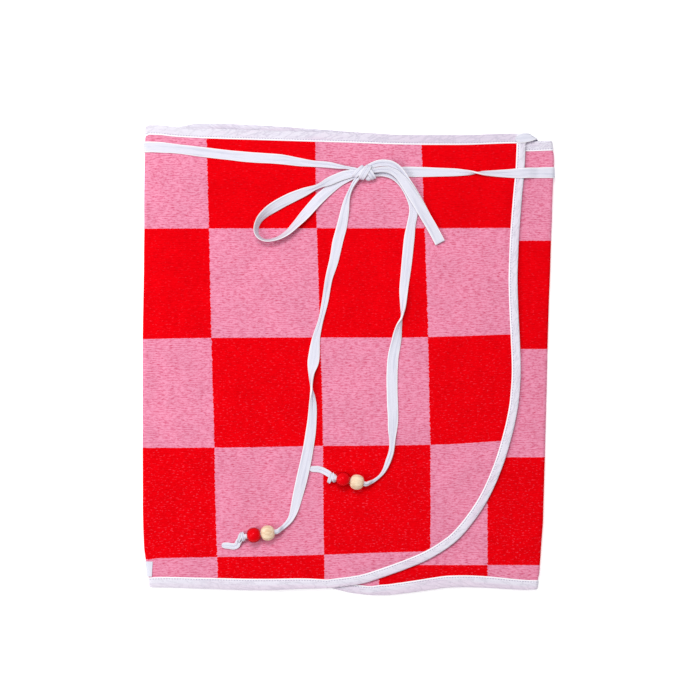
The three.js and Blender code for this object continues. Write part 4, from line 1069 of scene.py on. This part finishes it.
def tapeMesh(stops, seed):
    centre = np.array([s["at"] for s in stops])
    tangent = np.gradient(centre, axis=0)
    points, flat = [], []
    run = 0.0
    for i, stop in enumerate(stops):
        if i:
            run += float(np.linalg.norm(centre[i] - centre[i - 1]))
        wide = stop["wide"] / np.linalg.norm(stop["wide"])
        out = np.cross(tangent[i], wide)
        out /= np.linalg.norm(out) + 1e-9
        half, thick = stop["half"], stop["thick"]
        rounded = min(1.0, thick / half) ** 2
        loose = min(1.0, max(0.0, (half - 2.8) / 2))
        wobble = 0.14 * soft(run / 9, seed, 0.5) * loose
        half *= 1 + 0.03 * soft(run / 14, seed, 4.5)
        pinch = 1 - min(1.0, max(0.0, (half - 3.6) / 1.6))
        dip = 0.86 - 0.7 * pinch - 0.35 * max(0.0, soft(run / 30, seed, 8.5))
        upper = [(u, dip if v is None else v) for u, v in tapeProfile]
        for u, v in upper + [(u, -v) for u, v in upper[::-1]]:
            angle = math.atan2(v, u)
            a = mix(u * half, half * math.cos(angle), rounded)
            b = mix(v * thick, thick * math.sin(angle), rounded)
            b += wobble + 0.1 * loose * soft(run / 5, u * 1.4, seed)
            at = stop["at"] + wide * a + out * b
            points.append((at[0], at[1], max(tape["lowest"], at[2])))
            flat.append((run + seed * 90, u))
    return points, len(stops), 2 * len(tapeProfile), flat


def joinMeshes(meshes):
    points, faces, uv = [], [], []
    for own, count, size, flat in meshes:
        faces += sweepFaces(count, size, len(points))
        points += own
        uv += flat
    return points, faces, uv


# Half a turn of tape round a fold, from below it to its top; reach is negative on the left.
def halfTurn(middle, reach, y, low, top):
    out, rise = [], (top - low) / 2
    for turn in range(180, -1, -20):
        a = math.radians(turn)
        out.append({"at": np.array([middle + reach * math.sin(a), y, low + rise + rise * math.cos(a)]),
                    "wide": np.array([0.0, math.copysign(1.0, reach), 0.0]),
                    "half": tape["turnWide"], "thick": tape["halfThick"]})
    return out


def aroundLeft(y):
    top = float(foldPoint("left", 0.0, y)[1]) + cloth["half"] + resting
    room = cloth["half"] + cloth["foldRoom"]
    return halfTurn(float(leftX(y)) + room, -room - resting, y, tape["halfThick"], top)


def aroundRight(y):
    top = float(foldPoint("right", math.pi, y)[1]) + cloth["half"] + resting
    low = float(foldPoint("right", 0.0, y)[1]) - cloth["half"] - resting
    return halfTurn(float(rightX(y)) - cloth["half"] - cloth["pitch"] / 2, (top - low) / 2, y, low, top)


# Heights of the ties' hidden parts: the lower one under the cloth, the other over it, and the two corners.
flatZ = tape["halfThick"]
secondZ = tape["halfThick"] * 3 + gap
cornerTop = float(frontZ(174.0, 226.0)) + binding["half"] + resting
startZ = float(underZ(-192.0, 230.0))


def leftTie():
    corner = placed([
        (170, 226.2, cornerTop, 90, 1.6), (171.6, 226.4, cornerTop, 92, 3.2),
        (174.4, 226.8, cornerTop, 96, 4.5), (178.4, 227.5, cornerTop + 0.1, 108, 5),
        (183, 228.3, cornerTop, 128, 5.4),
        (186.6, 228.9, cornerTop - 0.8, 142, 5.4), (188.5, 229.3, cornerTop - 3, 147, 5.4),
        (188.8, 229.4, secondZ + 3.2, 150, 5.6), (189.4, 227.8, secondZ + 0.3, 158, 6),
        (191.6, 221, secondZ, 190, 6.2),
        (193.2, 214.6, secondZ, 230, 4.4, 0.6), (191.5, 209.2, mix(flatZ, secondZ, 0.8), 258, 3.6, 0.7),
        (184, 206.6, flatZ + 0.4, 268, 4, 0.6), (172, 206.8, flatZ, 270, 5), (140, 208, flatZ, 270, 5.3),
        (90, 209.6, flatZ, 270, 5.4), (-10, 212.6, flatZ, 270, 5.4), (-110, 215.8, flatZ, 270, 5.4),
        (-185, 218, flatZ, 270, 5.4), (-203, 218.4, flatZ, 270, 5.5),
    ])
    return densify(corner + aroundLeft(218.4), tape["step"]) + onCloth(leftStretch, flip=True)


def rightTie():
    start = placed([
        (-191.8, 228.4, startZ, 54, 4), (-194.6, 231.4, startZ, 44, 4.4), (-197.6, 234.6, startZ, 20, 5),
        (-199, 238, startZ - 0.3, 4, 5.2), (-199.2, 240, startZ - 1.6, 0, 5.2),
        (-199.2, 240.4, startZ - 3, 0, 5.2), (-199.2, 239.9, secondZ + 0.8, 0, 5.2),
        (-199, 237.6, secondZ, 0, 5.2), (-198, 231, secondZ, 12, 5), (-194, 224.4, secondZ, 34, 4.4, 0.6),
        (-187.5, 219.6, secondZ, 58, 4.2, 0.6), (-178, 217, secondZ, 78, 4.8),
        (-160, 215.6, secondZ, 84, 5.3), (-60, 209.4, secondZ, 86.5, 5.4), (40, 202.6, secondZ, 86.5, 5.4),
        (140, 195.8, secondZ, 86.5, 5.4), (175, 193.4, secondZ, 87.5, 5.4), (200, 192.2, secondZ, 90, 5.5),
    ])
    step = [(205.5, 192, float(underZ(205.5, 192.0)) + cloth["half"] + resting, 90, 5.6)]
    step += [(x, y, float(surfaceZ(x, 192.0)) + resting + 0.2, 90, half)
             for x, y, half in ((199, 191.9, 5.6), (194, 191.8, 5.5), (189.5, 191.7, 5.5))]
    path = densify(start + aroundRight(192.0) + placed(step), tape["step"])
    return path + onCloth(rightStretch, flip=True)


def beadHeight(place):
    return float(max(restZ(*place["plain"]), restZ(*place["red"]))) + bead["radius"]


def tailStops(table, place):
    path = onCloth(table)
    px, py = place["plain"]
    rx, ry = place["red"]
    size = math.hypot(rx - px, ry - py)
    dx, dy = (rx - px) / size, (ry - py) / size
    bore, across = beadHeight(place), np.array([-dy, dx, 0.0])
    long = bead["halfLong"]
    cord = [{"at": np.array([px + dx * r, py + dy * r, bore]), "wide": across, "half": tape["cord"],
             "thick": tape["cord"]} for r in (-long - 3, -long, 0, long, size, size + long, size + 10)]
    last, first = path[-1], cord[0]
    middle = []
    for share in (0.2, 0.4, 0.6, 0.8):
        at = mix(last["at"], first["at"], share)
        at[2] = mix(last["at"][2], bore, float(ease(share)))
        wide = last["wide"] if np.dot(last["wide"], across) > 0 else -last["wide"]
        middle.append({"at": at, "wide": mix(wide, across, share),
                       **{key: mix(last[key], tape["cord"], share) for key in ("half", "thick")}})
    if np.dot(last["wide"], across) < 0:
        for stop in path:
            stop["wide"] = -stop["wide"]
    return path + densify(middle + cord, 1.6)


def endStops(place):
    rows = place["end"]
    count = len(rows)
    stops = []
    for k, (x, y) in enumerate(rows):
        before, after = rows[max(0, k - 1)], rows[min(count - 1, k + 1)]
        aim = math.atan2(after[1] - before[1], after[0] - before[0]) + math.pi / 2
        tilt, share = math.radians(endShape["tilt"][k]), k / (count - 1)
        half = endShape["half"][k]
        low = tape["halfThick"] + 0.3 + half * abs(math.sin(tilt))
        z = float(restZ(x, y)) + mix(max(4.2, low), low, float(ease(share * 1.4)))
        wide = np.array([math.cos(aim) * math.cos(tilt), math.sin(aim) * math.cos(tilt), math.sin(tilt)])
        stops.append({"at": np.array([x, y, z], float), "wide": wide, "half": half,
                      "thick": mix(1.0, tape["halfThick"] + 0.1, share)})
    stops = densify(stops, 0.8)
    for k, stop in enumerate(stops[::-1]):
        stop["half"] *= math.sqrt(1 - 0.8 * max(0.0, 1 - k / 3.5) ** 2)
    return stops


# A closed band of tape round a knot: its ring lies across the pull, tipped by lean.
def bandStops(middle, size, aim, half, lean, thick):
    out = []
    a = math.radians(aim)
    along = np.array([math.cos(a), math.sin(a), 0.0])
    side = np.array([-math.sin(a), math.cos(a), 0.0])
    for t in np.linspace(0, 2 * math.pi, tape["bandSections"]):
        ring = side * math.cos(t) * size[0] + np.array([0, 0, 1.0]) * math.sin(t) * size[1]
        shift = along * lean * math.cos(t)
        narrow = half * (1 - 0.18 * math.cos(t) ** 2)
        out.append({"at": np.array(middle) + ring + shift, "wide": along, "half": narrow, "thick": thick})
    return out


def lumpMesh(middle, half, seed):
    rings, size = 14, 18
    points = []
    for i in range(rings + 1):
        tall = math.sin((2 * i / rings - 1) * math.pi / 2)
        flat = math.sqrt(max(0.0, 1 - tall * tall)) + 0.02
        for k in range(size):
            a = 2 * math.pi * k / size
            grow = 1 + 0.08 * soft(math.cos(a) * 1.5 + seed, math.sin(a) * 1.5, tall * 1.5)
            way = (flat * math.cos(a), flat * math.sin(a), tall)
            points.append(tuple(m + h * w * grow for m, h, w in zip(middle, half, way)))
    return points, rings + 1, size, [(seed * 90, 0.5)] * len(points)


# Bands round a knot: the offset from its middle, ring size, direction, half width, lean, half thickness.
knotBands = [
    (-5.6, 0.6, 0.2, (7.0, 4.6), -30, 3.2, 1.6, 0.8),
    (0.6, -0.2, 0.6, (7.6, 5.0), -14, 3.6, 2.4, 0.8),
    (5.8, -1.2, 0.0, (6.6, 4.4), 22, 3.0, -1.6, 0.8),
]
endBands = [
    (1.6, 0.2, 0.0, (4.2, 3.8), 26, 1.9, 0.9, 0.7),
    (-1.8, -0.6, 0.0, (4.4, 3.7), -34, 2.0, -1.0, 0.7),
]


def bandMeshes(bands, x, y, z, seed):
    return [tapeMesh(bandStops((x + dx, y + dy, z + dz), *shape), seed + k)
            for k, (dx, dy, dz, *shape) in enumerate(bands)]


def buildTies():
    kx, ky = knot["middle"]
    kz = float(surfaceZ(kx, ky)) + gap + knot["rise"]
    meshes = [
        tapeMesh(leftTie(), 1), tapeMesh(rightTie(), 12), tapeMesh(onCloth(leftLoop), 23),
        tapeMesh(foldedLoop(onCloth(rightLoopOver), onCloth(rightLoopBack, flip=True)), 34),
        lumpMesh((kx, ky, kz), (9.6, 6.2, 4.2), 2),
        lumpMesh((kx + 4.2, ky - 5.4, kz - 0.6), (3.8, 3.4, 3.4), 8),
    ]
    meshes += bandMeshes(knotBands, kx, ky, kz, 41)
    for i, place in enumerate(beadPlaces):
        table = farTail if i else plainTail
        meshes += [tapeMesh(tailStops(table, place), 51 + i), tapeMesh(endStops(place), 61 + i)]
        x, y = place["knot"]
        z = float(restZ(x, y)) + knot["endRise"]
        meshes.append(lumpMesh((x, y, z), (3.7, 3.9, 3.5), 5 + i))
        meshes += bandMeshes(endBands, x, y, z, 71 + 4 * i)
    # bands round the knots are short, and aren't counted
    laid = sum(flat[-1][0] - flat[0][0] for _, count, _, flat in meshes if count > tape["bandSections"])
    print("laid length of the ties, mm", round(laid), flush=True)
    made = finishPiece(meshObject("waistTies", *joinMeshes(meshes)), "waist_ties", "tie")
    return made


waistTies = buildTies()
print("ties", len(waistTies.data.polygons), flush=True)


def buildBead(name, node, at, towards, height, material):
    radius, long, bore = bead["radius"], bead["halfLong"], bead["bore"]
    outline = [(bore, -long + 0.3), (bore + 0.35, -long)]
    for k in range(1, 22):
        t = -math.pi / 2 + math.pi * k / 22
        r = radius * abs(math.cos(t)) ** 0.62
        if r > bore + 0.6:
            outline.append((r, long * math.copysign(abs(math.sin(t)) ** 1.1, math.sin(t))))
    outline += [(bore + 0.35, long), (bore, long - 0.3)]
    aim = math.atan2(towards[1] - at[1], towards[0] - at[0])
    size, rings = bead["sides"], len(outline)
    points, faces = [], []
    for i, (r, run) in enumerate(outline):
        ring, after = i * size, (i + 1) % rings * size
        for k in range(size):
            a, n = 2 * math.pi * k / size, (k + 1) % size
            side, up = r * math.cos(a), r * math.sin(a)
            points.append((at[0] + math.cos(aim) * run - math.sin(aim) * side,
                           at[1] + math.sin(aim) * run + math.cos(aim) * side, height + up))
            faces.append((ring + k, ring + n, after + n, after + k))
    finishPiece(meshObject(name, points, faces), node, material)


for index, place in enumerate(beadPlaces):
    height = beadHeight(place)
    for color, other in (("plain", "red"), ("red", "plain")):
        name, node = f"{color}Bead{index + 1}", f"bead_{color}_{index + 1}"
        buildBead(name, node, place[color], place[other], height, color)


tab = {"high": (-224.4, -208.8), "front": -203.4, "back": 5.0, "thick": 0.5}


# The tab lies on the front beside the left fold, goes round it and ends a little behind.
def buildTab():
    inner = cloth["half"] + gap
    outer = inner + tab["thick"]
    low, high = tab["high"]
    stops = [(share, 0.0) for share in (1, 0.66, 0.33)]
    stops += [(0.0, t) for t in np.linspace(0, math.pi, 16)]
    stops += [(out, math.pi) for out in np.linspace(0, tab["back"], 5)[1:]]
    ring = [(low, inner), (high, inner), (high, outer - 0.1), (high - 0.3, outer), (high - 1.3, outer - 0.1),
            (low + 1.3, outer - 0.1), (low + 0.3, outer), (low, outer - 0.1)]
    points = []
    for out, turn in stops:
        for y, h in ring:
            x, z, nx, up, _ = foldPoint("left", turn, y)
            end = tab["front"] + (y - high) * 0.06 if turn == 0 else x + 1
            points.append((float(x + nx * h + out * (end - x)), y, float(z + up * h)))
    made = meshObject("blankTab", points, sweepFaces(len(stops), len(ring)))
    finishPiece(made, "blank_tab", "tie")


buildTab()
print("beads and tab", flush=True)


stage = {
    "floor": 3.0, "floorDrop": -0.0002, "lens": 100.0, "above": 2.013, "photoMiddle": (0.00133, 0.00957),
    "key": 28.0, "side": 23.0, "ambient": 0.48, "floorGlow": 0.3, "sensor": 36,
}


def areaLight(name, place, size, power):
    light = bpy.data.lights.new(name, "AREA")
    light.shape = "RECTANGLE"
    light.size, light.size_y = size
    light.energy = power
    made = linked(name, light)
    made.location = place
    made.rotation_euler = (-Vector(place)).to_track_quat("-Z", "Y").to_euler()


def setStage():
    f, low = stage["floor"], stage["floorDrop"]
    mesh = bpy.data.meshes.new("floor")
    mesh.from_pydata([(-f, -f, low), (f, -f, low), (f, f, low), (-f, f, low)], [], [(0, 1, 2, 3)])
    paint = Graph("floor")
    paint.link((1.0, 1.0, 1.0), paint.shader.inputs["Emission Color"])
    paint.link(stage["floorGlow"], paint.shader.inputs["Emission Strength"])
    mesh.materials.append(paint.finish((0.97, 0.97, 0.97), 1.0, 0.0))
    linked("floor", mesh)
    areaLight("topLight", (-0.3, 1.0, 2.1), (1.0, 0.6), stage["key"])
    areaLight("sideLight", (-1.6, -0.1, 1.7), (1.2, 1.2), stage["side"])
    scene, world = bpy.context.scene, bpy.data.worlds.new("studio")
    scene.world = world
    world.use_nodes = True
    back = world.node_tree.nodes["Background"]
    back.inputs[0].default_value = (1, 1, 1, 1)
    back.inputs[1].default_value = stage["ambient"]
    camera = bpy.data.cameras.new("camera")
    camera.lens, camera.sensor_width = stage["lens"], stage["sensor"]
    scene.camera = linked("camera", camera)
    scene.camera.location = (*stage["photoMiddle"], stage["above"])
    scene.view_settings.view_transform = "Standard"
    scene.view_settings.look = "None"


setStage()
